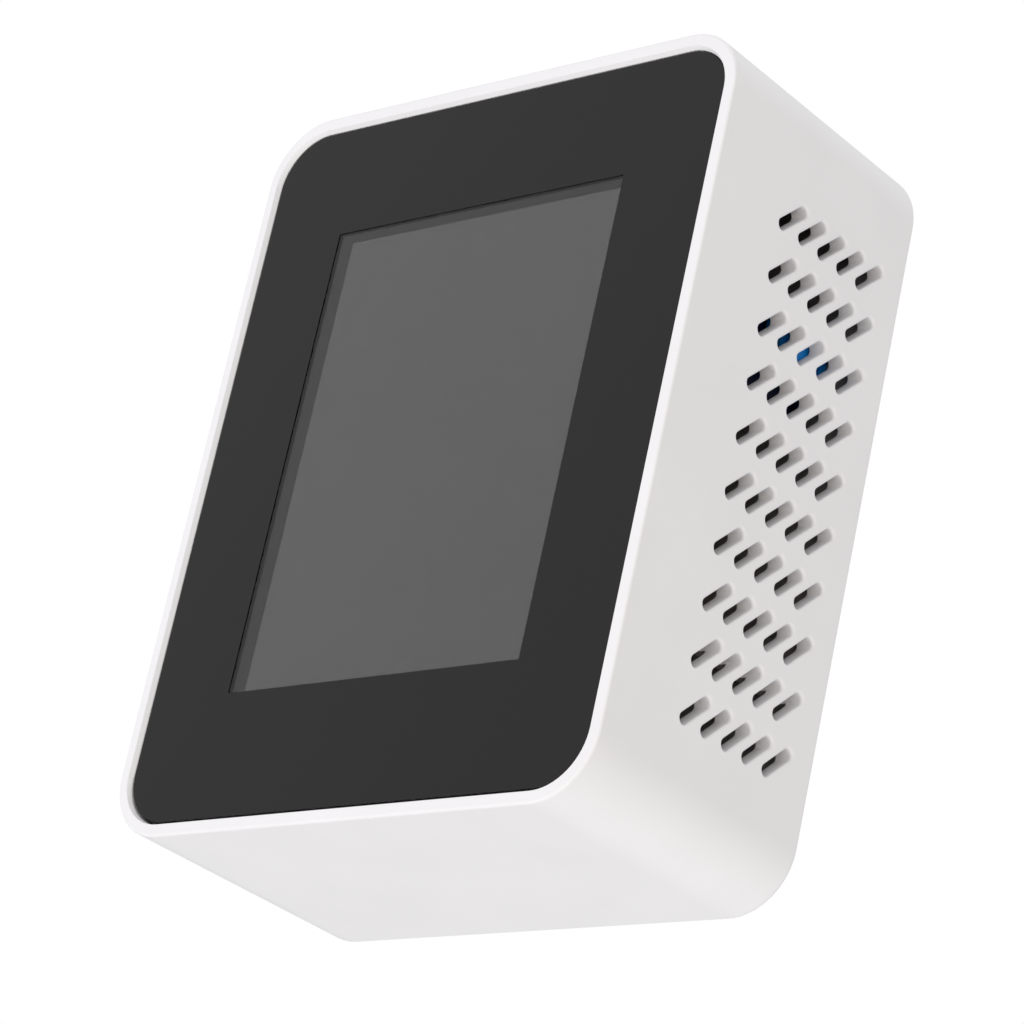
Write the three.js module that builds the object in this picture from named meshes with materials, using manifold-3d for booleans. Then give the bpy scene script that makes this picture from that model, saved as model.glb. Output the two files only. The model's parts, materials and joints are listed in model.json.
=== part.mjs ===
// A desktop air quality monitor: a white tub with vented sides, closed at the front by a
// black-masked window, with its display, boards and sensors inside.
// Millimetres. +Z is up, the display faces -Y, and the origin is on the desk under the centre.

import * as THREE from 'three';
import { mergeVertices } from 'three/addons/utils/BufferGeometryUtils.js';
import Module from 'manifold-3d';

const wasm = await Module();
wasm.setup();

// ---------------------------------------------------------------- driving dimensions

// Outer box.
const WIDTH = 71.4;
const HEIGHT = 92;
const DEPTH = 34.8;
const CORNER_RADIUS = 8;
const BACK_FILLET = 0.8;

// Tub walls. The rim is thinner than the walls, so the front panel drops into a rebate.
const WALL = 2.5;
const BACK_WALL = 2.3;
const POCKET_RADIUS = 5.5;
const RIM = 1.58;
const RIM_TOP = 1.88;
const REBATE_RADIUS = 6.4;

// Planes that the parts are stacked from.
const FRONT = -DEPTH / 2;
const BACK = DEPTH / 2;
const MIDDLE_Z = HEIGHT / 2;
const INNER_X = WIDTH / 2 - WALL;
const INNER_TOP = HEIGHT - WALL;
const INNER_BACK = BACK - BACK_WALL;

// Thin layers: a film of glue, and the gap left round a piece that drops into a pocket.
const GLUE = 0.05;
const FIT_GAP = 0.3;
const PANEL_GAP = 0.1;
const PANEL_TOP_GAP = 0.15;
const PANEL_BOTTOM_GAP = 0.4;

// Side vents: slanted slots in a grid.
const VENT_ROWS = 10;
const VENT_COLUMNS = 5;
const VENT_PITCH_Y = 3.64;
const VENT_PITCH_Z = 6.56;
const VENT_FIRST_Y = FRONT + 13.98;
const VENT_TOP_Z = MIDDLE_Z + 28.62;
const VENT_LENGTH = 5.65;
const VENT_WIDTH = 1.42;
const VENT_TILT = Math.PI / 4;

// A rib along each side wall, inside, between two rows of vents.
const RIB_BOTTOM = 23.65;
const RIB_THICKNESS = 1.2;
const RIB_REACH = 2;
const RIB_FRONT = FRONT + 11;

// Front stack: black film with an opening, clear window, foam, display. It sits just below
// the rim.
const PANEL_RECESS = 0.5;
const LENS_THICKNESS = 0.5;
const MASK_THICKNESS = 0.1;
const WINDOW_WIDTH = 43.5;
const WINDOW_HEIGHT = 58.5;
const WINDOW_X = -0.23;
const WINDOW_Z = MIDDLE_Z + 0.36;
const GASKET_THICKNESS = 0.75;
const GASKET_RIM = 0.9;
const ACTIVE_WIDTH = 43.2;
const ACTIVE_HEIGHT = 57.6;
const POLARIZER_THICKNESS = 0.15;
const MODULE_WIDTH = 52;
const MODULE_HEIGHT = 69.2;
const CELL_THICKNESS = 1.2;
const TRAY_THICKNESS = 2.4;

const REBATE_WIDTH = WIDTH - 2 * RIM;
const REBATE_HEIGHT = HEIGHT - RIM - RIM_TOP;
const REBATE_Z = RIM + REBATE_HEIGHT / 2;
const PANEL_WIDTH = REBATE_WIDTH - 2 * PANEL_GAP;
const PANEL_HEIGHT = REBATE_HEIGHT - PANEL_TOP_GAP - PANEL_BOTTOM_GAP;
const PANEL_Z = RIM + PANEL_BOTTOM_GAP + PANEL_HEIGHT / 2;
const PANEL_RADIUS = REBATE_RADIUS - PANEL_GAP;
const MASK_FRONT = FRONT + PANEL_RECESS;
const MASK_BACK = MASK_FRONT + MASK_THICKNESS;
const LENS_FRONT = MASK_BACK + GLUE;
const LENS_BACK = LENS_FRONT + LENS_THICKNESS;
const GASKET_FRONT = LENS_BACK + GLUE;
const GASKET_BACK = GASKET_FRONT + GASKET_THICKNESS;
const POLARIZER_FRONT = GASKET_BACK + GLUE;
const CELL_FRONT = POLARIZER_FRONT + POLARIZER_THICKNESS + GLUE;
const CELL_BACK = CELL_FRONT + CELL_THICKNESS;
const TRAY_FRONT = CELL_BACK + GLUE;
const TRAY_BACK = TRAY_FRONT + TRAY_THICKNESS;

// Front frame, which carries the window, the display and the main board.
const FRAME_THICKNESS = 1.5;
const FRAME_SKIRT = 1.2;
const MODULE_GAP = 0.3;
const FRAME_BACK = GASKET_FRONT + FRAME_THICKNESS;
const REBATE_FLOOR = FRAME_BACK + FIT_GAP;
const LONG_POST_X = 29.4;
const LONG_POST_Z = 39.6;
const LONG_POST_RADIUS = 2.5;
const SHORT_POST_X = 28.5;
const SHORT_POST_Z = 31;
const SHORT_POST_RADIUS = 2.2;

// Main board.
const BOARD_HALF_WIDTH = 31;
const BOARD_HALF_HEIGHT = 35;
const BOARD_THICKNESS = 1.6;
const BOARD_FRONT = TRAY_BACK + 2.95;
const BOARD_BACK = BOARD_FRONT + BOARD_THICKNESS;
const PART_FACE = BOARD_BACK + GLUE;

// Housing screws, in counterbored bosses of the back wall.
const BOSS_RADIUS = 4;
const COUNTERBORE_RADIUS = 2.9;
const COUNTERBORE_DEPTH = 2.6;
const BOSS_FACE = BACK - 2 * COUNTERBORE_DEPTH;
const HOUSING_SCREW_HEAD_RADIUS = 2.5;
const HOUSING_SCREW_HEAD = 1.6;
const HOUSING_SCREW_LENGTH = 9;
const SHANK_RADIUS = 1.0;
const PILOT_RADIUS = 1.15;

// Power button, a pill through the top wall over a switch on the board's edge.
const BUTTON_X = 18;
const BUTTON_Y = BOARD_BACK + 1.8;
const BUTTON_LENGTH = 12;
const BUTTON_WIDTH = 5;
const BUTTON_GAP = 0.2;
const BUTTON_PROUD = 0.5;
const BUTTON_FLANGE = 1;
const BUTTON_TRAVEL = 0.5;

// Charging board and its port in the back wall.
const PORT_Z = 14;
const PORT_WIDTH = 8.94;
const PORT_HEIGHT = 3.26;
const PORT_GAP = 0.25;
const PORT_SHELL_WALL = 0.3;
const TONGUE_HALF_WIDTH = 3.3;
const TONGUE_HALF_HEIGHT = 0.35;
const POWER_BOARD_BACK = INNER_BACK - 5;
const POWER_BOARD_FRONT = POWER_BOARD_BACK - 1.2;
const POWER_BOSS_X = 8.3;
const POWER_BOSS_Z = 21;

// Temperature and humidity sensor, just inside the right-hand vent.
const CLIMATE_FACE_X = 30.6;
const CLIMATE_THICKNESS = 3;
const CLIMATE_WIDTH = 8.4;
const CLIMATE_HEIGHT = 7.2;
const CLIMATE_BACK = FRONT + 29.9;
const CLIMATE_Z = MIDDLE_Z + 18.8;
const CLIMATE_BOARD = 1.2;
const CLIMATE_BOARD_HALF_HEIGHT = 6.5;
const CLIMATE_NOSE = {
  low: [CLIMATE_FACE_X - 0.5, FRONT + 22.1, MIDDLE_Z + 15.4],
  high: [CLIMATE_FACE_X + 2.1, FRONT + 25.3, MIDDLE_Z + 20],
};
const CLIMATE_LOUVRES = 2;
const LOUVRE_MARGIN = 4.5;
const LOUVRE_PITCH = 1.7;
const LOUVRE_WIDTH = 0.8;
const LOUVRE_DEPTH = 1.2;

// Particle sensor, a fan-drawn laser counter on a foam pad behind the main board.
const PM_LEFT = -31;
const PM_RIGHT = 4;
const PM_BOTTOM = 42;
const PM_TOP = 80;
const PM_FRONT = BOARD_BACK + 1.7;
const PM_BACK = PM_FRONT + 11.4;
const PM_WALL = 1.2;
const PM_COVER = 0.6;
const FAN_X = -19.5;
const FAN_Z = 67.5;
const FAN_BAY_RADIUS = 10.6;
const FAN_TIP_RADIUS = 9.6;
const FAN_HUB_RADIUS = 4.2;
const FAN_WINDOW_RADIUS = 7;
const FAN_SPINDLE_RADIUS = 0.7;
const FAN_BORE_RADIUS = 0.9;
const FAN_BLADES = 9;
const FAN_BLADE_THICKNESS = 0.5;
const FAN_BLADE_PITCH = 0.5;
const FAN_BLADE_ROOT = 0.3;
const PM_PAD = { left: -24, right: -3, bottom: 46, top: 74 };
const PM_CHAMBER_TOP = 55;
const PM_BOARD_BAY_LEFT = -7.5;
const LASER_RADIUS = 2.6;
const LASER_LENGTH = 7;
const LASER_X = -22;
const LASER_Z = 48.5;

// Display flex and its connector on the front of the main board.
const FLEX_HALF_WIDTH = 9;
const FLEX_THICKNESS = 0.2;
const FLEX_DROP = 1.2;
const FLEX_TOP = 17.4;
const FLEX_SOCKET = { left: -10, right: 10, bottom: 17.5, top: 21, height: 1 };

// Parts on the back of the main board, given by their edges and their height off it.
const MICROCONTROLLER = { left: -5, right: 5, bottom: 18, top: 28, height: 1.2 };
const WIRELESS_MODULE = { left: -26, right: -8, bottom: 12.5, top: 38, height: 3.1 };
const CO2_BOARD = { left: 7, right: 27, bottom: 20, top: 52, height: 1 };
const BUZZER = { x: 12, z: 70, radius: 4.5, height: 4.2, mouth: 0.9, mouthDepth: 1.7 };
const GAS_SENSOR = { x: 15.5, z: 58, radius: 4.2, height: 6, baseRadius: 4.7, base: 1 };
const CO2_CHAMBER = { x: 17, z: 35, width: 17, height: 26, radius: 3, depth: 7.2 };
const CO2_PORTS_Z = [26, 35, 44];
const CO2_PORT_RADIUS = 2.2;
const CO2_PORT_DEPTH = 1.8;

// Small screws, a pan head on a plain shank.
const SMALL_HEAD_RADIUS = 1.9;
const SMALL_HEAD = 1.3;
const SMALL_SHANK_RADIUS = 0.9;
const SMALL_SLOT = { reach: 1, half: 0.22, depth: 0.6 };
const MAIN_SCREW_LENGTH = 5;
const POWER_SCREW_LENGTH = 4.5;

// Switch under the power button.
const SWITCH_HALF_WIDTH = 3;
const SWITCH_HEIGHT = 3.6;
const SWITCH_DEPTH = 3.5;
const PLUNGER_HALF_WIDTH = 1.4;
const PLUNGER_HALF_DEPTH = 0.75;
const PLUNGER_ENGAGEMENT = 0.9;
const STEM_HALF_WIDTH = 1.6;
const STEM_HALF_DEPTH = 1;
const STEM_CLEARANCE = 1.25;

// Cables inside.
const PM_CABLE = { left: -5, right: 3, thickness: 0.8, socketZ: 32.5 };
const POWER_CABLE = { left: -3, right: 5, thickness: 0.6, powerZ: 10, mainZ: 14.5 };
const BATTERY_LEAD = { left: -4.3, right: -1.7, thickness: 1.2 };

// Battery pouch, its plug, and the charging board.
const BATTERY = { x: -12, z: 61, width: 34, height: 36, radius: 2 };
const BATTERY_PLUG = { left: -6, right: 0, bottom: 17.5, top: 23.6, depth: 4.5 };
const POWER_BOARD = { z: 16, width: 22, height: 16, radius: 1 };

// ---------------------------------------------------------------- materials

const FINISHES = {
  whitePlastic: { color: '#eeedf0', roughness: 0.5, metalness: 0 },
  blackPrint: { color: '#0b0b0c', roughness: 0.08, metalness: 0 },
  clearAcrylic: {
    color: '#e8eef0', roughness: 0.05, metalness: 0, transparent: true, opacity: 0.3,
  },
  blackPlastic: { color: '#1b1b1c', roughness: 0.6, metalness: 0 },
  blackFoam: { color: '#141414', roughness: 0.95, metalness: 0 },
  displayFace: { color: '#636363', roughness: 0.3, metalness: 0 },
  displayGlass: { color: '#4d4d4d', roughness: 0.2, metalness: 0 },
  trayPlastic: { color: '#e6e6e2', roughness: 0.55, metalness: 0 },
  amberFilm: { color: '#b8701c', roughness: 0.4, metalness: 0 },
  greenBoard: { color: '#14502c', roughness: 0.45, metalness: 0 },
  blueBoard: { color: '#14245e', roughness: 0.45, metalness: 0 },
  bluePlastic: { color: '#1060b0', roughness: 0.45, metalness: 0 },
  chipEpoxy: { color: '#202124', roughness: 0.7, metalness: 0 },
  tinnedSteel: { color: '#b9bbbd', roughness: 0.35, metalness: 1 },
  goldPlate: { color: '#c9a24a', roughness: 0.3, metalness: 1 },
  brass: { color: '#b08d3c', roughness: 0.35, metalness: 1 },
  blackSteel: { color: '#2b2c2e', roughness: 0.4, metalness: 1 },
  pouchFilm: { color: '#a9adb3', roughness: 0.35, metalness: 0.6 },
  cableSleeve: { color: '#c02a22', roughness: 0.6, metalness: 0 },
  greyCable: { color: '#8c8f93', roughness: 0.6, metalness: 0 },
  ivoryNylon: { color: '#e2dcc8', roughness: 0.6, metalness: 0 },
};

// ---------------------------------------------------------------- shapes and solids

const X_AXIS = new THREE.Vector3(1, 0, 0);
const Y_AXIS = new THREE.Vector3(0, 1, 0);
const Z_AXIS = new THREE.Vector3(0, 0, 1);
const MINUS_Y = new THREE.Vector3(0, -1, 0);

// A rectangle with round corners, centred on (u, v).
function roundedRect(u, v, width, height, radius) {
  const right = width / 2 - radius;
  const top = height / 2 - radius;
  const shape = new THREE.Shape();
  shape.absarc(u + right, v + top, radius, 0, Math.PI / 2);
  shape.absarc(u - right, v + top, radius, Math.PI / 2, Math.PI);
  shape.absarc(u - right, v - top, radius, Math.PI, 1.5 * Math.PI);
  shape.absarc(u + right, v - top, radius, 1.5 * Math.PI, 2 * Math.PI);
  return shape;
}

// A pill: two half circles joined by straight sides, turned by tilt about its centre.
function pill(u, v, length, width, tilt = 0) {
  const radius = width / 2;
  const reach = length / 2 - radius;
  const du = reach * Math.cos(tilt);
  const dv = reach * Math.sin(tilt);
  const shape = new THREE.Shape();
  shape.absarc(u + du, v + dv, radius, tilt - Math.PI / 2, tilt + Math.PI / 2);
  shape.absarc(u - du, v - dv, radius, tilt + Math.PI / 2, tilt + 1.5 * Math.PI);
  return shape;
}

// The outline of a thin sheet that follows a curve drawn in a plane.
function stripAlong(curve, thickness, steps) {
  const left = [];
  const right = [];
  for (let i = 0; i <= steps; i += 1) {
    const point = curve.getPointAt(i / steps);
    const along = curve.getTangentAt(i / steps);
    const side = new THREE.Vector2(-along.y, along.x).multiplyScalar(thickness / 2);
    left.push(point.clone().add(side));
    right.unshift(point.clone().sub(side));
  }
  return new THREE.Shape([...left, ...right]);
}

// A slab of constant section along an axis. The section is drawn in (y, z) for x,
// in (x, z) for y, and in (x, y) for z.
function slab(shape, axis, from, to, segments = 4) {
  const geometry = new THREE.ExtrudeGeometry(shape, {
    depth: to - from,
    bevelEnabled: false,
    curveSegments: segments,
  });
  const placement = new THREE.Matrix4();
  if (axis === 'x') {
    placement.makeBasis(Y_AXIS, Z_AXIS, X_AXIS).setPosition(from, 0, 0);
  } else if (axis === 'y') {
    placement.makeBasis(X_AXIS, Z_AXIS, MINUS_Y).setPosition(0, to, 0);
  } else {
    placement.setPosition(0, 0, from);
  }
  return geometry.applyMatrix4(placement);
}

// A box between two corners.
function block([x0, y0, z0], [x1, y1, z1]) {
  const geometry = new THREE.BoxGeometry(x1 - x0, y1 - y0, z1 - z0);
  return geometry.translate((x0 + x1) / 2, (y0 + y1) / 2, (z0 + z1) / 2);
}

// A block that stands on the back of the main board.
function onBoard({ left, right, bottom, top, height }) {
  return block([left, PART_FACE, bottom], [right, PART_FACE + height, top]);
}

// A round bar along Y.
function rod(x, z, radius, from, to, segments = 16) {
  const geometry = new THREE.CylinderGeometry(radius, radius, to - from, segments);
  return geometry.translate(x, (from + to) / 2, z);
}

function solid(part) {
  if (part instanceof wasm.Manifold) {
    return part;
  }
  const bare = part.clone();
  bare.deleteAttribute('normal');
  bare.deleteAttribute('uv');
  const merged = mergeVertices(bare);
  return new wasm.Manifold(new wasm.Mesh({
    numProp: 3,
    vertProperties: new Float32Array(merged.attributes.position.array),
    triVerts: new Uint32Array(merged.index.array),
  }));
}

function join(first, ...others) {
  return others.reduce((whole, part) => whole.add(solid(part)), solid(first));
}

function carve(first, ...tools) {
  return tools.reduce((whole, tool) => whole.subtract(solid(tool)), solid(first));
}

function toGeometry(part) {
  if (part instanceof THREE.BufferGeometry) {
    return part;
  }
  const { vertProperties, triVerts } = part.getMesh();
  const geometry = new THREE.BufferGeometry();
  geometry.setAttribute('position', new THREE.BufferAttribute(vertProperties, 3));
  geometry.setIndex(new THREE.BufferAttribute(triVerts, 1));
  geometry.computeVertexNormals();
  return geometry;
}

// The four points (+-x, MIDDLE_Z +- z), in a fixed order.
function fourCorners(x, z) {
  return [[-x, MIDDLE_Z - z], [x, MIDDLE_Z - z], [-x, MIDDLE_Z + z], [x, MIDDLE_Z + z]];
}

const monitor = new THREE.Group();

function addPart(name, part, finish) {
  const mesh = new THREE.Mesh(toGeometry(part), new THREE.MeshStandardMaterial(FINISHES[finish]));
  mesh.name = name;
  monitor.add(mesh);
}

// ---------------------------------------------------------------- housing

function outerBody() {
  const outline = roundedRect(0, MIDDLE_Z, WIDTH, HEIGHT, CORNER_RADIUS);
  const geometry = new THREE.ExtrudeGeometry(outline, {
    depth: DEPTH,
    curveSegments: 4,
    bevelThickness: BACK_FILLET,
    bevelSize: BACK_FILLET,
    bevelOffset: -BACK_FILLET,
    bevelSegments: 3,
  });
  const placement = new THREE.Matrix4().makeBasis(X_AXIS, Z_AXIS, MINUS_Y);
  placement.setPosition(0, BACK - BACK_FILLET, 0);
  geometry.applyMatrix4(placement);
  const frontHalfSpace = block([-WIDTH, FRONT - DEPTH, -HEIGHT], [WIDTH, FRONT, 2 * HEIGHT]);
  return carve(geometry, frontHalfSpace);
}

// One cutter for each slanted slot of the vent in the right (+1) or left (-1) wall.
function ventCutters(side) {
  const cutters = [];
  const outside = side * (WIDTH / 2 + 1);
  const inside = side * (INNER_X - 1);
  for (let row = 0; row < VENT_ROWS; row += 1) {
    for (let column = 0; column < VENT_COLUMNS; column += 1) {
      const y = VENT_FIRST_Y + column * VENT_PITCH_Y;
      const z = VENT_TOP_Z - row * VENT_PITCH_Z;
      const slot = pill(y, z, VENT_LENGTH, VENT_WIDTH, VENT_TILT);
      cutters.push(slab(slot, 'x', Math.min(outside, inside), Math.max(outside, inside), 2));
    }
  }
  return cutters;
}

function addHousing() {
  const pocket = roundedRect(0, MIDDLE_Z, 2 * INNER_X, HEIGHT - 2 * WALL, POCKET_RADIUS);
  const rebate = roundedRect(0, REBATE_Z, REBATE_WIDTH, REBATE_HEIGHT, REBATE_RADIUS);
  let tub = carve(
    outerBody(),
    slab(rebate, 'y', FRONT - 1, REBATE_FLOOR, 4),
    slab(pocket, 'y', FRONT, INNER_BACK, 4),
  );
  for (const [x, z] of fourCorners(LONG_POST_X, LONG_POST_Z)) {
    tub = join(tub, rod(x, z, BOSS_RADIUS, BOSS_FACE, INNER_BACK + 1));
    tub = carve(
      tub,
      rod(x, z, COUNTERBORE_RADIUS, BACK - COUNTERBORE_DEPTH, BACK + 1),
      rod(x, z, SHANK_RADIUS + FIT_GAP, BOSS_FACE - 1, BACK),
    );
  }
  for (const side of [-1, 1]) {
    const root = side * (INNER_X + 1);
    const tip = side * (INNER_X - RIB_REACH);
    tub = join(tub, block(
      [Math.min(root, tip), RIB_FRONT, RIB_BOTTOM],
      [Math.max(root, tip), INNER_BACK + 1, RIB_BOTTOM + RIB_THICKNESS],
    ));
  }
  for (const x of [-POWER_BOSS_X, POWER_BOSS_X]) {
    tub = join(tub, rod(x, POWER_BOSS_Z, 2.4, POWER_BOARD_BACK + GLUE, INNER_BACK + 1, 12));
    const pilot = rod(x, POWER_BOSS_Z, PILOT_RADIUS, POWER_BOARD_BACK - 1, INNER_BACK - 0.6, 12);
    tub = carve(tub, pilot);
  }
  const buttonHole = pill(
    BUTTON_X,
    BUTTON_Y,
    BUTTON_LENGTH + 2 * BUTTON_GAP,
    BUTTON_WIDTH + 2 * BUTTON_GAP,
  );
  const portHole = pill(0, PORT_Z, PORT_WIDTH + 2 * PORT_GAP, PORT_HEIGHT + 2 * PORT_GAP);
  tub = carve(
    tub,
    slab(buttonHole, 'z', INNER_TOP - 1, HEIGHT + 1),
    slab(portHole, 'y', INNER_BACK - 1, BACK + 1),
    ...ventCutters(1),
    ...ventCutters(-1),
  );
  addPart('housing', tub, 'whitePlastic');
}

function addHousingScrews() {
  const seat = BACK - COUNTERBORE_DEPTH + GLUE;
  const headTop = seat + HOUSING_SCREW_HEAD;
  const tip = seat - HOUSING_SCREW_LENGTH;
  const profile = [
    new THREE.Vector2(0, tip),
    new THREE.Vector2(SHANK_RADIUS * 0.5, tip),
    new THREE.Vector2(SHANK_RADIUS, tip + 1),
    new THREE.Vector2(SHANK_RADIUS, seat),
    new THREE.Vector2(HOUSING_SCREW_HEAD_RADIUS, seat),
    new THREE.Vector2(HOUSING_SCREW_HEAD_RADIUS, headTop - 0.6),
    new THREE.Vector2(HOUSING_SCREW_HEAD_RADIUS * 0.7, headTop),
    new THREE.Vector2(0, headTop),
  ];
  const recess = 1.4;
  const blade = 0.3;
  fourCorners(LONG_POST_X, LONG_POST_Z).forEach(([x, z], index) => {
    const screw = carve(
      new THREE.LatheGeometry(profile, 16).translate(x, 0, z),
      block([x - recess, headTop - 0.9, z - blade], [x + recess, headTop + 1, z + blade]),
      block([x - blade, headTop - 0.9, z - recess], [x + blade, headTop + 1, z + recess]),
    );
    addPart(`housing_screw_${index + 1}`, screw, 'blackSteel');
  });
}

// ---------------------------------------------------------------- window and display

function addWindow() {
  const outline = roundedRect(0, PANEL_Z, PANEL_WIDTH, PANEL_HEIGHT, PANEL_RADIUS);
  addPart('front_lens', slab(outline, 'y', LENS_FRONT, LENS_BACK, 4), 'clearAcrylic');
  const aperture = roundedRect(WINDOW_X, WINDOW_Z, WINDOW_WIDTH, WINDOW_HEIGHT, 0.15);
  outline.holes.push(aperture);
  addPart('lens_mask', slab(outline, 'y', MASK_FRONT, MASK_BACK, 4), 'blackPrint');
}

function addFrontFrame() {
  const bay = [MODULE_WIDTH + 2 * MODULE_GAP, MODULE_HEIGHT + 2 * MODULE_GAP];
  const skirtBack = TRAY_BACK - 0.4;
  const outline = roundedRect(0, PANEL_Z, PANEL_WIDTH, PANEL_HEIGHT, PANEL_RADIUS);
  const skirtSize = bay.map((size) => size + 2 * FRAME_SKIRT);
  const skirt = roundedRect(WINDOW_X, WINDOW_Z, ...skirtSize, 1.5);
  let frame = join(
    slab(outline, 'y', GASKET_FRONT, FRAME_BACK, 4),
    slab(skirt, 'y', GASKET_FRONT, skirtBack, 2),
  );
  for (const [x, z] of fourCorners(LONG_POST_X, LONG_POST_Z)) {
    frame = join(frame, rod(x, z, LONG_POST_RADIUS, FRAME_BACK - 0.5, BOSS_FACE - GLUE));
    frame = carve(frame, rod(x, z, PILOT_RADIUS, BOSS_FACE - HOUSING_SCREW_LENGTH, BACK));
  }
  for (const [x, z] of fourCorners(SHORT_POST_X, SHORT_POST_Z)) {
    frame = join(frame, rod(x, z, SHORT_POST_RADIUS, FRAME_BACK - 0.5, BOARD_FRONT - GLUE, 12));
    frame = carve(frame, rod(x, z, PILOT_RADIUS, FRAME_BACK + 0.3, BOARD_FRONT, 12));
  }
  const moduleBay = roundedRect(WINDOW_X, WINDOW_Z, bay[0], bay[1], 0.5);
  const flexNotchTop = WINDOW_Z - MODULE_HEIGHT / 2 + 1;
  frame = carve(
    frame,
    slab(moduleBay, 'y', FRONT, BOARD_FRONT, 2),
    block([-11, CELL_FRONT, flexNotchTop - 5], [11, BOARD_FRONT, flexNotchTop]),
  );
  addPart('front_frame', frame, 'blackPlastic');
}

function addDisplay() {
  const gasket = roundedRect(WINDOW_X, WINDOW_Z, MODULE_WIDTH, MODULE_HEIGHT, 0.5);
  gasket.holes.push(roundedRect(
    WINDOW_X,
    WINDOW_Z,
    MODULE_WIDTH - 2 * GASKET_RIM,
    MODULE_HEIGHT - 4 * GASKET_RIM,
    0.3,
  ));
  addPart('display_gasket', slab(gasket, 'y', GASKET_FRONT, GASKET_BACK, 2), 'blackFoam');

  const active = roundedRect(WINDOW_X, WINDOW_Z, ACTIVE_WIDTH, ACTIVE_HEIGHT, 0.1);
  const activeBack = POLARIZER_FRONT + POLARIZER_THICKNESS;
  addPart('lcd_polarizer', slab(active, 'y', POLARIZER_FRONT, activeBack, 2), 'displayFace');

  const cell = roundedRect(WINDOW_X, WINDOW_Z, MODULE_WIDTH - 0.4, MODULE_HEIGHT - 0.4, 0.3);
  addPart('lcd_glass', slab(cell, 'y', CELL_FRONT, CELL_BACK, 2), 'displayGlass');

  const tray = roundedRect(WINDOW_X, WINDOW_Z, MODULE_WIDTH, MODULE_HEIGHT, 0.5);
  addPart('backlight_tray', slab(tray, 'y', TRAY_FRONT, TRAY_BACK, 2), 'trayPlastic');
}

// The display's flexible circuit leaves the bottom of the glass and turns back up to a
// connector on the front of the main board.
function addDisplayFlex() {
  const startY = CELL_BACK - 0.5;
  const socketBack = BOARD_FRONT - GLUE;
  const socketFront = socketBack - FLEX_SOCKET.height;
  const endY = socketFront + 0.5;
  const bend = (endY - startY) / 2;
  const cellBottom = WINDOW_Z - MODULE_HEIGHT / 2;
  const bendZ = cellBottom - FLEX_DROP;
  const start = new THREE.Vector2(startY, cellBottom);
  const turnStart = new THREE.Vector2(startY, bendZ);
  const turnEnd = new THREE.Vector2(endY, bendZ);
  const end = new THREE.Vector2(endY, FLEX_TOP);
  const route = new THREE.CurvePath();
  route.add(new THREE.LineCurve(start, turnStart));
  route.add(new THREE.EllipseCurve(startY + bend, bendZ, bend, bend, Math.PI, 2 * Math.PI));
  route.add(new THREE.LineCurve(turnEnd, end));
  const strip = stripAlong(route, FLEX_THICKNESS, 28);
  addPart('display_flex', slab(strip, 'x', -FLEX_HALF_WIDTH, FLEX_HALF_WIDTH), 'amberFilm');
  const socket = block(
    [FLEX_SOCKET.left, socketFront, FLEX_SOCKET.bottom],
    [FLEX_SOCKET.right, socketBack, FLEX_SOCKET.top],
  );
  addPart('display_connector', socket, 'ivoryNylon');
}

// ---------------------------------------------------------------- main board

function addMainBoard() {
  const outline = roundedRect(0, MIDDLE_Z, 2 * BOARD_HALF_WIDTH, 2 * BOARD_HALF_HEIGHT, 1.5);
  const holes = fourCorners(SHORT_POST_X, SHORT_POST_Z).map(
    ([x, z]) => rod(x, z, PILOT_RADIUS, BOARD_FRONT - 1, BOARD_BACK + 1, 12),
  );
  const board = carve(slab(outline, 'y', BOARD_FRONT, BOARD_BACK, 3), ...holes);
  addPart('main_board', board, 'greenBoard');
}

// A small pan-head screw along Y. toward is +1 when its head faces the back, -1 the front.
function boardScrew(x, z, seat, toward, length) {
  const { reach, half, depth } = SMALL_SLOT;
  const profile = [
    new THREE.Vector2(0, -length),
    new THREE.Vector2(SMALL_SHANK_RADIUS, -length),
    new THREE.Vector2(SMALL_SHANK_RADIUS, 0),
    new THREE.Vector2(SMALL_HEAD_RADIUS, 0),
    new THREE.Vector2(SMALL_HEAD_RADIUS, SMALL_HEAD - depth),
    new THREE.Vector2(1.2, SMALL_HEAD),
    new THREE.Vector2(0, SMALL_HEAD),
  ];
  const geometry = new THREE.LatheGeometry(profile, 12);
  if (toward < 0) {
    geometry.rotateX(Math.PI);
  }
  geometry.translate(x, seat, z);
  const headTop = seat + toward * SMALL_HEAD;
  const low = headTop - depth;
  const high = headTop + depth;
  return carve(
    geometry,
    block([x - reach, low, z - half], [x + reach, high, z + half]),
    block([x - half, low, z - reach], [x + half, high, z + reach]),
  );
}

function addBoardScrews() {
  fourCorners(SHORT_POST_X, SHORT_POST_Z).forEach(([x, z], index) => {
    const screw = boardScrew(x, z, PART_FACE, 1, MAIN_SCREW_LENGTH);
    addPart(`board_screw_${index + 1}`, screw, 'tinnedSteel');
  });
}

function addBoardParts() {
  addPart('microcontroller', onBoard(MICROCONTROLLER), 'chipEpoxy');
  addPart('wireless_module', onBoard(WIRELESS_MODULE), 'tinnedSteel');
  const buzzerTop = PART_FACE + BUZZER.height;
  const buzzer = carve(
    rod(BUZZER.x, BUZZER.z, BUZZER.radius, PART_FACE, buzzerTop, 20),
    rod(BUZZER.x, BUZZER.z, BUZZER.mouth, buzzerTop - BUZZER.mouthDepth, buzzerTop + 1, 8),
  );
  addPart('buzzer', buzzer, 'blackPlastic');
  const { x, z, base } = GAS_SENSOR;
  const gasSensor = join(
    rod(x, z, GAS_SENSOR.baseRadius, PART_FACE, PART_FACE + base, 20),
    rod(x, z, GAS_SENSOR.radius, PART_FACE + base / 2, PART_FACE + GAS_SENSOR.height, 20),
  );
  addPart('gas_sensor', gasSensor, 'tinnedSteel');
}

// ---------------------------------------------------------------- power button and switch

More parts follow.
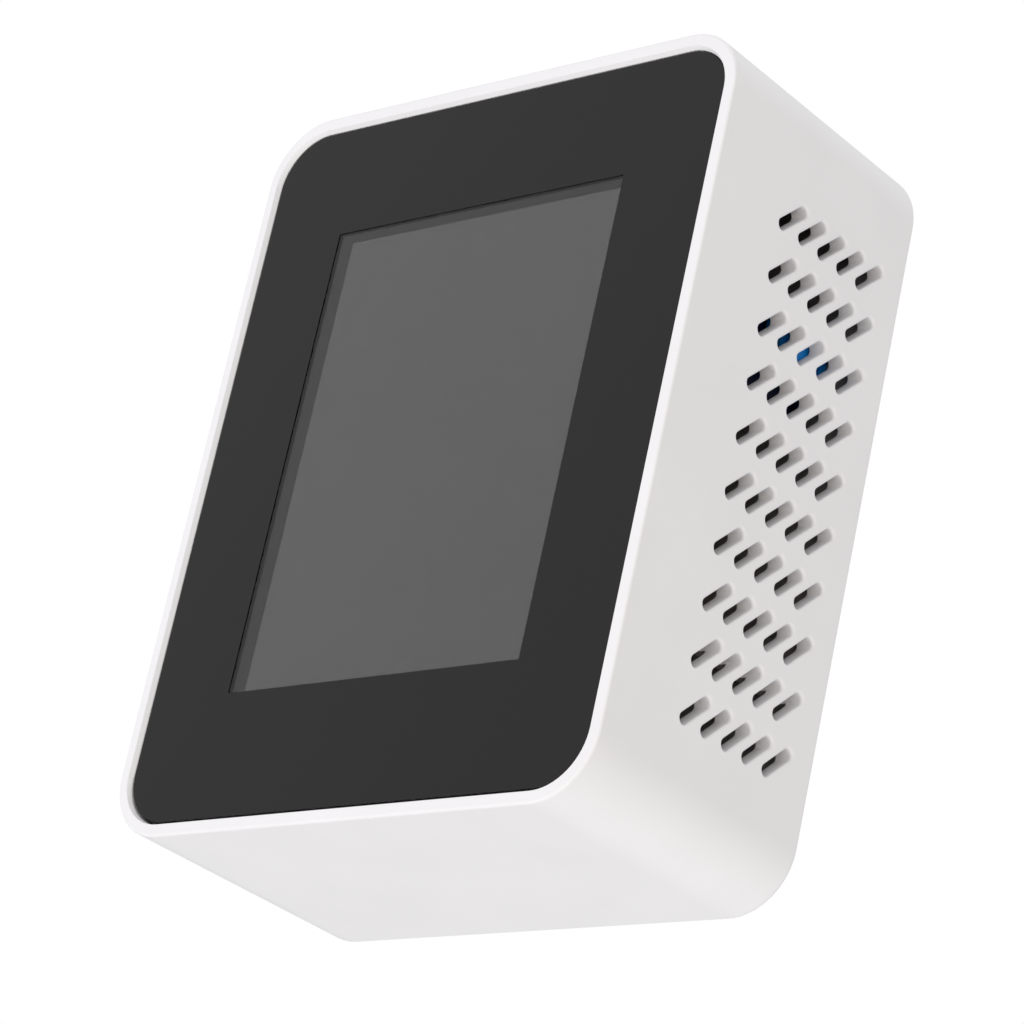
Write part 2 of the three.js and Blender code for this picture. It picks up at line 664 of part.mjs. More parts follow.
function addPowerButton() {
  const flangeTop = INNER_TOP - BUTTON_GAP;
  const flangeBottom = flangeTop - 0.9;
  const capBottom = flangeTop - 0.4;
  const stemBottom = MIDDLE_Z + BOARD_HALF_HEIGHT + STEM_CLEARANCE;
  const cap = pill(BUTTON_X, BUTTON_Y, BUTTON_LENGTH, BUTTON_WIDTH);
  const flange = pill(
    BUTTON_X,
    BUTTON_Y,
    BUTTON_LENGTH + 2 * BUTTON_FLANGE,
    BUTTON_WIDTH + 2 * BUTTON_FLANGE,
  );
  const stem = block(
    [BUTTON_X - STEM_HALF_WIDTH, BUTTON_Y - STEM_HALF_DEPTH, stemBottom],
    [BUTTON_X + STEM_HALF_WIDTH, BUTTON_Y + STEM_HALF_DEPTH, capBottom],
  );
  const button = join(
    slab(cap, 'z', capBottom, HEIGHT + BUTTON_PROUD),
    slab(flange, 'z', flangeBottom, flangeTop),
    stem,
  );
  addPart('power_button', button, 'whitePlastic');

  const switchTop = MIDDLE_Z + BOARD_HALF_HEIGHT - 0.3;
  const plungerBottom = switchTop - PLUNGER_ENGAGEMENT;
  const body = block(
    [BUTTON_X - SWITCH_HALF_WIDTH, PART_FACE, switchTop - SWITCH_HEIGHT],
    [BUTTON_X + SWITCH_HALF_WIDTH, PART_FACE + SWITCH_DEPTH, switchTop],
  );
  const wellHalfWidth = PLUNGER_HALF_WIDTH + 0.2;
  const wellHalfDepth = PLUNGER_HALF_DEPTH + 0.2;
  const well = block(
    [BUTTON_X - wellHalfWidth, BUTTON_Y - wellHalfDepth, plungerBottom - BUTTON_TRAVEL - 0.3],
    [BUTTON_X + wellHalfWidth, BUTTON_Y + wellHalfDepth, switchTop + 1],
  );
  addPart('power_switch', carve(body, well), 'blackPlastic');
  const plunger = block(
    [BUTTON_X - PLUNGER_HALF_WIDTH, BUTTON_Y - PLUNGER_HALF_DEPTH, plungerBottom],
    [BUTTON_X + PLUNGER_HALF_WIDTH, BUTTON_Y + PLUNGER_HALF_DEPTH, stemBottom - GLUE],
  );
  addPart('power_switch_plunger', plunger, 'ivoryNylon');
}

// ---------------------------------------------------------------- gas and climate sensors

function addCarbonDioxideSensor() {
  const chamberFloor = PART_FACE + CO2_BOARD.height + GLUE;
  const chamberTop = chamberFloor + CO2_CHAMBER.depth;
  addPart('co2_sensor_board', onBoard(CO2_BOARD), 'greenBoard');
  const { x, z, width, height, radius } = CO2_CHAMBER;
  const chamber = roundedRect(x, z, width, height, radius);
  const ports = CO2_PORTS_Z.map(
    (portZ) => rod(x, portZ, CO2_PORT_RADIUS, chamberTop - CO2_PORT_DEPTH, chamberTop + 1, 10),
  );
  const housing = carve(slab(chamber, 'y', chamberFloor, chamberTop, 3), ...ports);
  addPart('co2_sensor_chamber', housing, 'goldPlate');
}

// The temperature and humidity sensor stands behind the right-hand vent, away from the
// heat of the main board, on a narrow board of its own. Its nose reaches up to the slots.
function addClimateSensor() {
  const boardFace = CLIMATE_FACE_X - CLIMATE_THICKNESS - GLUE;
  const bottom = CLIMATE_Z - CLIMATE_HEIGHT / 2;
  const top = CLIMATE_Z + CLIMATE_HEIGHT / 2;
  const board = block(
    [boardFace - CLIMATE_BOARD, PART_FACE, CLIMATE_Z - CLIMATE_BOARD_HALF_HEIGHT],
    [boardFace, CLIMATE_BACK + 0.3, CLIMATE_Z + CLIMATE_BOARD_HALF_HEIGHT],
  );
  addPart('climate_board', board, 'blueBoard');
  const body = block(
    [CLIMATE_FACE_X - CLIMATE_THICKNESS, CLIMATE_BACK - CLIMATE_WIDTH, bottom],
    [CLIMATE_FACE_X, CLIMATE_BACK, top],
  );
  const louvres = [];
  for (let index = 0; index < CLIMATE_LOUVRES; index += 1) {
    const y = CLIMATE_BACK - CLIMATE_WIDTH + LOUVRE_MARGIN + index * LOUVRE_PITCH;
    louvres.push(block(
      [CLIMATE_FACE_X - LOUVRE_DEPTH, y, bottom + 1],
      [CLIMATE_FACE_X + 1, y + LOUVRE_WIDTH, top - 1],
    ));
  }
  const nose = block(CLIMATE_NOSE.low, CLIMATE_NOSE.high);
  addPart('climate_sensor', carve(join(body, nose), ...louvres), 'bluePlastic');
}

// ---------------------------------------------------------------- particle sensor

// Air is drawn in at the left-hand vent, past the laser chamber, and blown out by the fan.
function addParticleSensor() {
  const pad = block(
    [PM_PAD.left, PART_FACE, PM_PAD.bottom],
    [PM_PAD.right, PM_FRONT - GLUE, PM_PAD.top],
  );
  addPart('pm_sensor_pad', pad, 'blackFoam');

  const floor = PM_FRONT + PM_WALL;
  const coverFront = PM_BACK - PM_COVER;
  const wallTop = coverFront - GLUE;
  const outsideLeft = PM_LEFT - 1;
  const innerLeft = PM_LEFT + PM_WALL;
  const innerRight = PM_RIGHT - PM_WALL;
  const fanBay = rod(FAN_X, FAN_Z, FAN_BAY_RADIUS, floor, PM_BACK, 28);
  const laserChamber = block(
    [innerLeft, floor, PM_BOTTOM + PM_WALL],
    [innerRight, PM_BACK, PM_CHAMBER_TOP],
  );
  const boardBay = block(
    [PM_BOARD_BAY_LEFT, floor, PM_CHAMBER_TOP - 1],
    [innerRight, PM_BACK, PM_TOP - PM_WALL],
  );
  const inlet = block([outsideLeft, floor + 1, 45], [innerLeft + 1, floor + 5, 52]);
  const outlet = block([outsideLeft, floor + 1, 62], [FAN_X, floor + 7, 73]);
  const passage = block([FAN_X, floor + 1, 62], [-6, floor + 7, 66]);
  const spindle = rod(FAN_X, FAN_Z, FAN_SPINDLE_RADIUS, floor - 0.4, floor + 6, 12);
  const shell = carve(
    block([PM_LEFT, PM_FRONT, PM_BOTTOM], [PM_RIGHT, wallTop, PM_TOP]),
    fanBay,
    laserChamber,
    boardBay,
    inlet,
    outlet,
    passage,
  );
  addPart('pm_sensor_case', join(shell, spindle), 'blackPlastic');

  const cover = carve(
    block([PM_LEFT, coverFront, PM_BOTTOM], [PM_RIGHT, PM_BACK, PM_TOP]),
    rod(FAN_X, FAN_Z, FAN_WINDOW_RADIUS, coverFront - 1, PM_BACK + 1, 20),
  );
  addPart('pm_sensor_cover', cover, 'tinnedSteel');

  addFan(floor, wallTop);

  const barrel = new THREE.CylinderGeometry(LASER_RADIUS, LASER_RADIUS, LASER_LENGTH, 16);
  barrel.rotateZ(Math.PI / 2);
  barrel.translate(LASER_X, floor + 4, LASER_Z);
  addPart('pm_laser_diode', barrel, 'brass');
}

function addFan(floor, wallTop) {
  const bottom = floor + 0.5;
  const top = wallTop - 1;
  const bladeLength = FAN_TIP_RADIUS - FAN_HUB_RADIUS + 2 * FAN_BLADE_ROOT;
  const blades = [];
  for (let index = 0; index < FAN_BLADES; index += 1) {
    const blade = new THREE.BoxGeometry(bladeLength, top - bottom - 1, FAN_BLADE_THICKNESS);
    blade.rotateX(FAN_BLADE_PITCH);
    blade.translate((FAN_TIP_RADIUS + FAN_HUB_RADIUS) / 2 - FAN_BLADE_ROOT, 0, 0);
    blade.rotateY((2 * Math.PI * index) / FAN_BLADES);
    blade.translate(FAN_X, (bottom + top) / 2, FAN_Z);
    blades.push(blade);
  }
  const hub = rod(FAN_X, FAN_Z, FAN_HUB_RADIUS, bottom, top, 20);
  const bore = rod(FAN_X, FAN_Z, FAN_BORE_RADIUS, bottom - 1, floor + 6.4, 12);
  addPart('pm_fan_rotor', carve(join(hub, ...blades), bore), 'blackPlastic');
}

function addParticleSensorCable() {
  const start = PM_FRONT + 4;
  const end = PART_FACE;
  const route = new THREE.CubicBezierCurve(
    new THREE.Vector2(start, PM_BOTTOM - GLUE),
    new THREE.Vector2(start, PM_BOTTOM - 5),
    new THREE.Vector2(end + 4, PM_CABLE.socketZ),
    new THREE.Vector2(end, PM_CABLE.socketZ),
  );
  const ribbon = stripAlong(route, PM_CABLE.thickness, 12);
  addPart('pm_sensor_cable', slab(ribbon, 'x', PM_CABLE.left, PM_CABLE.right), 'greyCable');
}

// ---------------------------------------------------------------- battery and charging

function addBattery() {
  const { x, z, width, height, radius } = BATTERY;
  const outline = roundedRect(x, z, width, height, radius);
  addPart('battery', slab(outline, 'y', PM_BACK + 0.6, INNER_BACK - 0.3, 3), 'pouchFilm');
  const bottom = z - height / 2;
  const startY = INNER_BACK - 3.5;
  const endY = POWER_BOARD_FRONT - 2.3;
  const route = new THREE.CubicBezierCurve(
    new THREE.Vector2(startY, bottom - GLUE),
    new THREE.Vector2(startY, bottom - 9),
    new THREE.Vector2(endY, bottom - 10),
    new THREE.Vector2(endY, BATTERY_PLUG.top + GLUE),
  );
  const lead = stripAlong(route, BATTERY_LEAD.thickness, 14);
  addPart('battery_lead', slab(lead, 'x', BATTERY_LEAD.left, BATTERY_LEAD.right), 'cableSleeve');
  const plugBack = POWER_BOARD_FRONT - GLUE;
  const plug = block(
    [BATTERY_PLUG.left, plugBack - BATTERY_PLUG.depth, BATTERY_PLUG.bottom],
    [BATTERY_PLUG.right, plugBack, BATTERY_PLUG.top],
  );
  addPart('battery_connector', plug, 'ivoryNylon');
}

function addPowerBoard() {
  const { z, width, height, radius } = POWER_BOARD;
  const outline = roundedRect(0, z, width, height, radius);
  const holes = [-POWER_BOSS_X, POWER_BOSS_X].map(
    (x) => rod(x, POWER_BOSS_Z, PILOT_RADIUS, POWER_BOARD_FRONT - 1, POWER_BOARD_BACK + 1, 12),
  );
  const board = carve(slab(outline, 'y', POWER_BOARD_FRONT, POWER_BOARD_BACK, 3), ...holes);
  addPart('power_board', board, 'greenBoard');
  [-POWER_BOSS_X, POWER_BOSS_X].forEach((x, index) => {
    const seat = POWER_BOARD_FRONT - GLUE;
    const screw = boardScrew(x, POWER_BOSS_Z, seat, -1, POWER_SCREW_LENGTH);
    addPart(`power_board_screw_${index + 1}`, screw, 'tinnedSteel');
  });
}

function addPort() {
  const portBase = POWER_BOARD_BACK + GLUE;
  const portMouth = BACK - 0.1;
  const cupFloor = portBase + 0.8;
  const innerWidth = PORT_WIDTH - 2 * PORT_SHELL_WALL;
  const innerHeight = PORT_HEIGHT - 2 * PORT_SHELL_WALL;
  const shell = carve(
    slab(pill(0, PORT_Z, PORT_WIDTH, PORT_HEIGHT), 'y', portBase, portMouth, 5),
    slab(pill(0, PORT_Z, innerWidth, innerHeight), 'y', cupFloor, portMouth + 1, 5),
  );
  addPart('usb_c_shell', shell, 'tinnedSteel');
  const tongue = block(
    [-TONGUE_HALF_WIDTH, cupFloor + GLUE, PORT_Z - TONGUE_HALF_HEIGHT],
    [TONGUE_HALF_WIDTH, portMouth - 0.8, PORT_Z + TONGUE_HALF_HEIGHT],
  );
  addPart('usb_c_tongue', tongue, 'blackPlastic');
}

function addPowerRibbon() {
  const { powerZ, mainZ } = POWER_CABLE;
  const route = new THREE.CubicBezierCurve(
    new THREE.Vector2(POWER_BOARD_FRONT - GLUE, powerZ),
    new THREE.Vector2(2, powerZ),
    new THREE.Vector2(0, mainZ),
    new THREE.Vector2(PART_FACE, mainZ),
  );
  const ribbon = stripAlong(route, POWER_CABLE.thickness, 14);
  addPart('power_ribbon', slab(ribbon, 'x', POWER_CABLE.left, POWER_CABLE.right), 'greyCable');
}

// ---------------------------------------------------------------- assembly

addHousing();
addHousingScrews();
addWindow();
addFrontFrame();
addDisplay();
addDisplayFlex();
addMainBoard();
addBoardScrews();
addBoardParts();
addPowerButton();
addCarbonDioxideSensor();
addClimateSensor();
addParticleSensor();
addParticleSensorCable();
addBattery();
addPowerBoard();
addPort();
addPowerRibbon();

export default monitor;
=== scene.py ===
"""The looks of the air quality monitor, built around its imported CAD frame.

Lengths in the constants and in the mesh code are millimetres, in the CAD's own frame; every
mesh is scaled to metres as it is made.
"""

import json
import math
import random

import bmesh
import bpy
from mathutils import Matrix, Vector


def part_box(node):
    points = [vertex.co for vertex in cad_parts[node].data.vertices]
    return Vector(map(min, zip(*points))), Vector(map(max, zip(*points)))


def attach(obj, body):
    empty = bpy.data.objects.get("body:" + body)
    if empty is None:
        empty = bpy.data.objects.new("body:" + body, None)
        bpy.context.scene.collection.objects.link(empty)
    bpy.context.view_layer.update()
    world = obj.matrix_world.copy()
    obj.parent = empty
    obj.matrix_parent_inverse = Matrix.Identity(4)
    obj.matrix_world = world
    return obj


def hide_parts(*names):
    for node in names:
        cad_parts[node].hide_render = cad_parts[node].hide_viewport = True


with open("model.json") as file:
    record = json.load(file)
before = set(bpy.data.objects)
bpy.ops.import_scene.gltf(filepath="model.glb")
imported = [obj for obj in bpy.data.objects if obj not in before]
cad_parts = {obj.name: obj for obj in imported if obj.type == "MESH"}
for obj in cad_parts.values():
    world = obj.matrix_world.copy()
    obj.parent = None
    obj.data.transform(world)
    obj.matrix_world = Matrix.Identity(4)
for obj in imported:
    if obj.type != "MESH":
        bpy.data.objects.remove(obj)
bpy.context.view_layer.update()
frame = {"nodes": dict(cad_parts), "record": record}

MM = 0.001

# ---------------------------------------------------------------- outer shell, as in the CAD

WIDTH, DEPTH, HEIGHT = 71.4, 34.8, 92.0
FRONT, BACK = -DEPTH / 2, DEPTH / 2
MIDDLE_Z = HEIGHT / 2
WALL = 2.5
BACK_WALL = 2.3
RIM, RIM_TOP = 1.58, 1.88
INNER_X = WIDTH / 2 - WALL
INNER_TOP = HEIGHT - WALL
INNER_BACK = BACK - BACK_WALL
CORNER_RADIUS = 8.0
POCKET_RADIUS = 5.5
REBATE_RADIUS = 6.4
REBATE_WIDTH = WIDTH - 2 * RIM
REBATE_HEIGHT = HEIGHT - RIM - RIM_TOP
REBATE_Z = RIM + REBATE_HEIGHT / 2

# Fine shape of the shell.
DRAFT = 0.24
# Depth behind the front where the grey painted shade on the shell's inside begins.
PAINTED_SHADE_START = 1.5
BACK_FILLET = 0.8
RIM_FILLET = 0.35
LIP_PROFILE = ((0.27, 0), (0.24, 0.02), (0.2, 0.07), (0.02, 0.47), (0, 0.52))
LIP_SKEW = 0.6
CORNER_STEPS = 16

# Side vents, and the rib behind them.
VENT_ROWS, VENT_COLUMNS = 10, 5
VENT_PITCH_Y, VENT_PITCH_Z = 3.64, 6.56
VENT_FIRST_Y = FRONT + 13.98
VENT_TOP_Z = MIDDLE_Z + 28.62
VENT_LENGTH, VENT_WIDTH = 5.65, 1.42
VENT_TILT = math.radians(45)
VENT_LIP = 0.4
RIB_BOTTOM, RIB_THICKNESS, RIB_REACH = 23.65, 1.2, 2.0
RIB_FRONT = FRONT + 11

# How far a cutter reaches past a face, a joined feature into its wall, and a feature's slack.
OVERCUT = 0.5
ROOT = 0.8
FIT_GAP = 0.3

# Screws, button and port.
SCREW_X, SCREW_Z = 29.4, 39.6
BOSS_RADIUS = 4.0
COUNTERBORE_RADIUS, COUNTERBORE_DEPTH = 2.9, 2.6
BOSS_FACE = BACK - 2 * COUNTERBORE_DEPTH
SCREW_HOLE_RADIUS = 1.3
MOUTH_CHAMFER = 0.25
POWER_BOSS_X, POWER_BOSS_Z, POWER_BOSS_RADIUS = 8.3, 21.0, 2.4
POWER_BOARD_BACK = INNER_BACK - 5
POWER_PILOT_RADIUS = 1.15
BUTTON_LENGTH, BUTTON_WIDTH, BUTTON_GAP, BUTTON_FLANGE = 12.0, 5.0, 0.2, 1.0
BUTTON_TRAVEL = 0.5
PORT_Z, PORT_WIDTH, PORT_HEIGHT, PORT_GAP, PORT_WALL = 14.0, 8.94, 3.26, 0.25, 0.3

# Window, mask and display.
PANEL_GAP = 0.1
FILM = 0.04
PANEL_RADIUS = REBATE_RADIUS - PANEL_GAP
FRAME_THICKNESS = 1.5
WINDOW_WIDTH, WINDOW_HEIGHT = 43.5, 58.5
WINDOW_X, WINDOW_Z = -0.23, MIDDLE_Z + 0.36

# The climate sensor's nose, behind the vents.
NOSE_REACH = 2.1
NOSE_Y, NOSE_Z = (4.7, 7.9), (61.4, 66.0)

# Parts on the boards.
CHIP_LENGTH, CHIP_WIDTH = 1.6, 0.8
LEAD_REACH = 0.9
CO2_PORTS_Z, CO2_PORT_RADIUS = (26, 35, 44), 2.2
FAN_X, FAN_Z, FAN_WINDOW_RADIUS = -19.5, 67.5, 7.0

# ---------------------------------------------------------------- mesh helpers


def box_mm(node):
    """A CAD node's lowest and highest corners, in millimetres."""
    low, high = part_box(node)
    return low / MM, high / MM


def new_object(name, mesh_data):
    """A linked object for a mesh whose vertices are in millimetres."""
    mesh_data.transform(Matrix.Scale(MM, 4))
    obj = bpy.data.objects.new(name, mesh_data)
    bpy.context.scene.collection.objects.link(obj)
    return obj


def mesh_from_bm(name, bm):
    bmesh.ops.recalc_face_normals(bm, faces=bm.faces)
    data = bpy.data.meshes.new(name)
    bm.to_mesh(data)
    bm.free()
    return data


def arc(centre_u, centre_v, radius, start, end, steps):
    """Points of a circular arc, both ends included."""
    points = []
    for i in range(steps + 1):
        angle = start + (end - start) * i / steps
        points.append((centre_u + radius * math.cos(angle), centre_v + radius * math.sin(angle)))
    return points


def rounded_rect(u, v, width, height, radius, steps=CORNER_STEPS):
    """The outline of a rectangle with round corners, anticlockwise."""
    right, top = width / 2 - radius, height / 2 - radius
    quarter = math.pi / 2
    points = []
    for index, (cu, cv) in enumerate(((right, top), (-right, top), (-right, -top), (right, -top))):
        points += arc(u + cu, v + cv, radius, quarter * index, quarter * (index + 1), steps)
    return points


def pill(u, v, length, width, tilt=0.0, steps=8):
    """The outline of a slot with round ends, anticlockwise."""
    radius = width / 2
    reach = length / 2 - radius
    du, dv = reach * math.cos(tilt), reach * math.sin(tilt)
    return arc(u + du, v + dv, radius, tilt - math.pi / 2, tilt + math.pi / 2, steps) + arc(
        u - du, v - dv, radius, tilt + math.pi / 2, tilt + 1.5 * math.pi, steps
    )


def pill_shape(u, v, length, width, steps):
    """A level slot with round ends, as a function of its inset."""
    return lambda inset: pill(u, v, length - 2 * inset, width - 2 * inset, 0, steps)


def circle(u, v, radius, steps=32):
    return arc(u, v, radius, 0, 2 * math.pi * (steps - 1) / steps, steps - 1)


PLANES = {
    "x": lambda u, v, w: Vector((w, u, v)),
    "y": lambda u, v, w: Vector((u, w, v)),
    "z": lambda u, v, w: Vector((u, v, w)),
}


def loft(bm, axis, rings):
    """Skins a list of (outline, level) rings stacked along an axis and caps both ends.

    level is a number, or a function of (u, v) where the ring isn't flat."""
    place = PLANES[axis]
    rows = []
    for outline, level in rings:
        height = level if callable(level) else (lambda u, v, w=level: w)
        rows.append([bm.verts.new(place(u, v, height(u, v))) for u, v in outline])
    for lower, upper in zip(rows, rows[1:]):
        count = len(lower)
        for i in range(count):
            j = (i + 1) % count
            bm.faces.new((lower[i], lower[j], upper[j], upper[i]))
    bm.faces.new(rows[0])
    bm.faces.new(rows[-1])


def prism(bm, axis, outline, start, end):
    """A straight bar with one outline, between two levels."""
    loft(bm, axis, [(outline, start), (outline, end)])


def lofted(name, axis, rings):
    bm = bmesh.new()
    loft(bm, axis, rings)
    return new_object(name, mesh_from_bm(name, bm))


def rounding(radius, steps):
    """(inset, depth) pairs down a rounded edge, or one plain pair where the edge is sharp."""
    if radius <= 0:
        return [(0, 0)]
    angles = [math.pi / 2 * i / steps for i in range(steps + 1)]
    return [(radius * (1 - math.sin(a)), radius * (1 - math.cos(a))) for a in angles]


def eased(shape, low, high, edge_low, edge_high, steps=3):
    """Rings of a slab whose two rims are rounded. shape(inset) gives the outline at an inset."""
    rings = [(shape(inset), low + depth) for inset, depth in rounding(edge_low, steps)]
    for inset, depth in reversed(rounding(edge_high, steps)):
        rings.append((shape(inset), high - depth))
    return rings


def rect_shape(u, v, width, height, radius, steps=6):
    """A rounded rectangle as a function of its inset."""
    return lambda inset: rounded_rect(
        u, v, width - 2 * inset, height - 2 * inset, max(radius - inset, 0.02), steps
    )


def middle_xz(low, high):
    """The middle of a box in the x-z plane."""
    return (low.x + high.x) / 2, (low.z + high.z) / 2


def box_shape(low, high, radius, steps):
    """A box's outline in the x-z plane, as a function of its inset."""
    return rect_shape(*middle_xz(low, high), high.x - low.x, high.z - low.z, radius, steps)


def behind_window(low, high, radius, steps=4):
    """The outline of a box that is centred on the window, as a function of its inset."""
    return rect_shape(WINDOW_X, WINDOW_Z, high.x - low.x, high.z - low.z, radius, steps)


def circle_shape(u, v, radius, steps=32):
    return lambda inset: circle(u, v, radius - inset, steps)


def add_lathe(bm, centre, axis, profile, steps=32):
    """Turns a profile of (radius, level) about an axis through centre. It starts and ends at
    radius 0, or closes on itself."""
    place = PLANES[axis]
    rows = []
    for radius, level in profile:
        if radius < 1e-6:
            rows.append([bm.verts.new(place(centre[0], centre[1], level))])
        else:
            ring = circle(*centre, radius, steps)
            rows.append([bm.verts.new(place(u, v, level)) for u, v in ring])
    for lower, upper in zip(rows, rows[1:]):
        for i in range(steps):
            j = (i + 1) % steps
            if len(lower) == 1 and len(upper) > 1:
                bm.faces.new((lower[0], upper[j], upper[i]))
            elif len(upper) == 1 and len(lower) > 1:
                bm.faces.new((lower[i], lower[j], upper[0]))
            elif len(lower) > 1:
                bm.faces.new((lower[i], lower[j], upper[j], upper[i]))


def add_block(bm, low, high, edge=0.0, steps=2):
    """A box between two corners, its edges rounded."""
    verts = bmesh.ops.create_cube(bm, size=1.0)["verts"]
    for vert in verts:
        vert.co = Vector([a + (c + 0.5) * (b - a) for a, b, c in zip(low, high, vert.co)])
    if edge > 0:
        edges = {line for vert in verts for line in vert.link_edges}
        bmesh.ops.bevel(
            bm, geom=list(edges), offset=edge, segments=steps, profile=0.5, affect="EDGES"
        )


def finish_mesh(obj):
    """Applies an object's modifiers to its mesh."""
    graph = bpy.context.evaluated_depsgraph_get()
    made = bpy.data.meshes.new_from_object(obj.evaluated_get(graph))
    obj.modifiers.clear()
    old = obj.data
    obj.data = made
    bpy.data.meshes.remove(old)


def combine(obj, bm, operation):
    """Joins a bmesh to an object, or cuts it out, by an exact boolean."""
    other = new_object("operand", mesh_from_bm("operand", bm))
    modifier = obj.modifiers.new("cut", "BOOLEAN")
    modifier.operation = operation
    modifier.solver = "EXACT"
    modifier.object = other
    bpy.context.view_layer.update()
    finish_mesh(obj)
    bpy.data.objects.remove(other)


def smooth(obj, angle=32):
    """Smooth shading with the edges over an angle kept sharp."""
    limit = math.radians(angle)
    bm = bmesh.new()
    bm.from_mesh(obj.data)
    for face in bm.faces:
        face.smooth = True
    for edge in bm.edges:
        edge.smooth = len(edge.link_faces) == 2 and edge.calc_face_angle(0) < limit
    bm.to_mesh(obj.data)
    bm.free()
    modifier = obj.modifiers.new("normals", "WEIGHTED_NORMAL")
    modifier.keep_sharp = True
    modifier.weight = 100


# ---------------------------------------------------------------- material helpers


class Material:
    """A Principled material whose colour, roughness and relief come from procedural nodes."""

    def __init__(self, name, **settings):
        self.material = bpy.data.materials.new(name)
        self.material.use_nodes = True
        self.tree = self.material.node_tree
        self.tree.nodes.clear()
        self.output = self.add("ShaderNodeOutputMaterial")
        self.shader = self.add("ShaderNodeBsdfPrincipled")
        self.link(self.shader.outputs["BSDF"], self.output.inputs["Surface"])
        self.place = self.add("ShaderNodeTexCoord").outputs["Object"]
        for socket, value in settings.items():
            self.shader.inputs[socket.replace("_", " ")].default_value = value

    def add(self, kind, **settings):
        node = self.tree.nodes.new(kind)
        for key, value in settings.items():
            setattr(node, key, value)
        return node

    def link(self, source, target):
        self.tree.links.new(source, target)

    def noise(self, size, detail=2.0, roughness=0.5):
        """A noise whose features are about size millimetres across."""
        node = self.add("ShaderNodeTexNoise")
        node.inputs["Scale"].default_value = 1 / (size * MM)
        node.inputs["Detail"].default_value = detail
        node.inputs["Roughness"].default_value = roughness
        self.link(self.place, node.inputs["Vector"])
        return node.outputs["Fac"]

    def spread(self, source, low, high, out_low, out_high):
        """A value moved from one range to another."""
        node = self.add("ShaderNodeMapRange")
        sockets = ("From Min", "From Max", "To Min", "To Max")
        for socket, value in zip(sockets, (low, high, out_low, out_high)):
            node.inputs[socket].default_value = value
        self.link(source, node.inputs["Value"])
        return node.outputs["Result"]

    def blend(self, factor, first, second):
        """A colour between two, which are colours or sockets."""
        node = self.add("ShaderNodeMix", data_type="RGBA")
        self.link(factor, node.inputs["Factor"])
        for socket, value in ((node.inputs["A"], first), (node.inputs["B"], second)):
            sockets = [s for s in node.inputs if s.name == socket.name and s.type == "RGBA"]
            if isinstance(value, tuple):
                sockets[0].default_value = (*value, 1)
            else:
                self.link(value, sockets[0])
        return [s for s in node.outputs if s.type == "RGBA"][0]

    def colour(self, source):
        self.link(source, self.shader.inputs["Base Color"])
        return self

    def rough(self, source):
        self.link(source, self.shader.inputs["Roughness"])
        return self

    def relief(self, *layers):
        """Bump layers of (height source, depth in millimetres), added one on the other."""
        normal = None
        for source, depth in layers:
            bump = self.add("ShaderNodeBump")
            bump.inputs["Strength"].default_value = 1.0
            bump.inputs["Distance"].default_value = depth * MM
            self.link(source, bump.inputs["Height"])
            if normal is not None:
                self.link(normal, bump.inputs["Normal"])
            normal = bump.outputs["Normal"]
        self.link(normal, self.shader.inputs["Normal"])
        return self


def linear(red, green, blue):
    """A linear colour from 8-bit sRGB values."""

    def channel(value):
        value /= 255
        return value / 12.92 if value <= 0.04045 else ((value + 0.055) / 1.055) ** 2.4

    return channel(red), channel(green), channel(blue)


def moulded(name, base, shade, rough=(0.42, 0.5), grain=0.35, grain_depth=0.004, **settings):
    """Moulded plastic: a fine eroded grain that also sets the gloss, and faint flow marks."""
    made = Material(name, **settings)
    cloud = made.noise(14, 3)
    fine = made.noise(grain, 2, 0.6)
    colour = made.blend(made.spread(cloud, 0.3, 0.7, 0, 1), linear(*base), linear(*shade))
    made.colour(colour)
    made.rough(made.spread(fine, 0.3, 0.7, *rough))
    made.relief((fine, grain_depth), (made.noise(grain * 4, 1), grain_depth))
    return made.material


def polished(name, first, second, cloud, haze, rough, **settings):
    """A glossy material with slow changes of colour and a faint haze in its gloss."""
    made = Material(name, **settings)
    made.colour(made.blend(made.noise(*cloud), linear(*first), linear(*second)))
    made.rough(made.spread(made.noise(*haze), 0.3, 0.7, *rough))
    return made.material


# ---------------------------------------------------------------- camera and lights

LENS_MM, SENSOR_MM = 151.722, 36.0
AIM = Vector((16.3995, FRONT, 34.6491)) * MM
VIEW_DISTANCE = 464.861 * MM
VIEW_AZIMUTH = math.radians(45.0756)
VIEW_ELEVATION = math.radians(-22.3075)
VIEW_ROLL = math.radians(-12.4538)


def add_camera():
    towards = Vector((
        math.sin(VIEW_AZIMUTH) * math.cos(VIEW_ELEVATION),
        -math.cos(VIEW_AZIMUTH) * math.cos(VIEW_ELEVATION),
        math.sin(VIEW_ELEVATION),
    ))
    forward = -towards
    level_up = (Vector((0, 0, 1)) - forward * forward.z).normalized()
    level_right = forward.cross(level_up)
    up = level_up * math.cos(VIEW_ROLL) + level_right * math.sin(VIEW_ROLL)
    right = forward.cross(up)
    turn = Matrix((right, up, towards)).transposed()
    data = bpy.data.cameras.new("camera")
    data.lens = LENS_MM
    data.sensor_width = SENSOR_MM
    data.clip_start, data.clip_end = 0.01, 50
    camera = bpy.data.objects.new("camera", data)
    camera.matrix_world = Matrix.Translation(AIM + towards * VIEW_DISTANCE) @ turn.to_4x4()
    bpy.context.scene.collection.objects.link(camera)
    bpy.context.scene.camera = camera


def add_light(name, place, size, power, colour=(1, 1, 1), aim=(0, 0, MIDDLE_Z)):
    data = bpy.data.lights.new(name, "AREA")
    data.shape = "DISK"
    data.color = colour
    data.size = size
    data.energy = power
    light = bpy.data.objects.new(name, data)
    position = Vector(place)
    light.location = position
    light.rotation_mode = "QUATERNION"
    light.rotation_quaternion = (Vector(aim) * MM - position).to_track_quat("-Z", "Y")
    light.visible_camera = False
    light.visible_glossy = False
    light.visible_transmission = False
    bpy.context.scene.collection.objects.link(light)


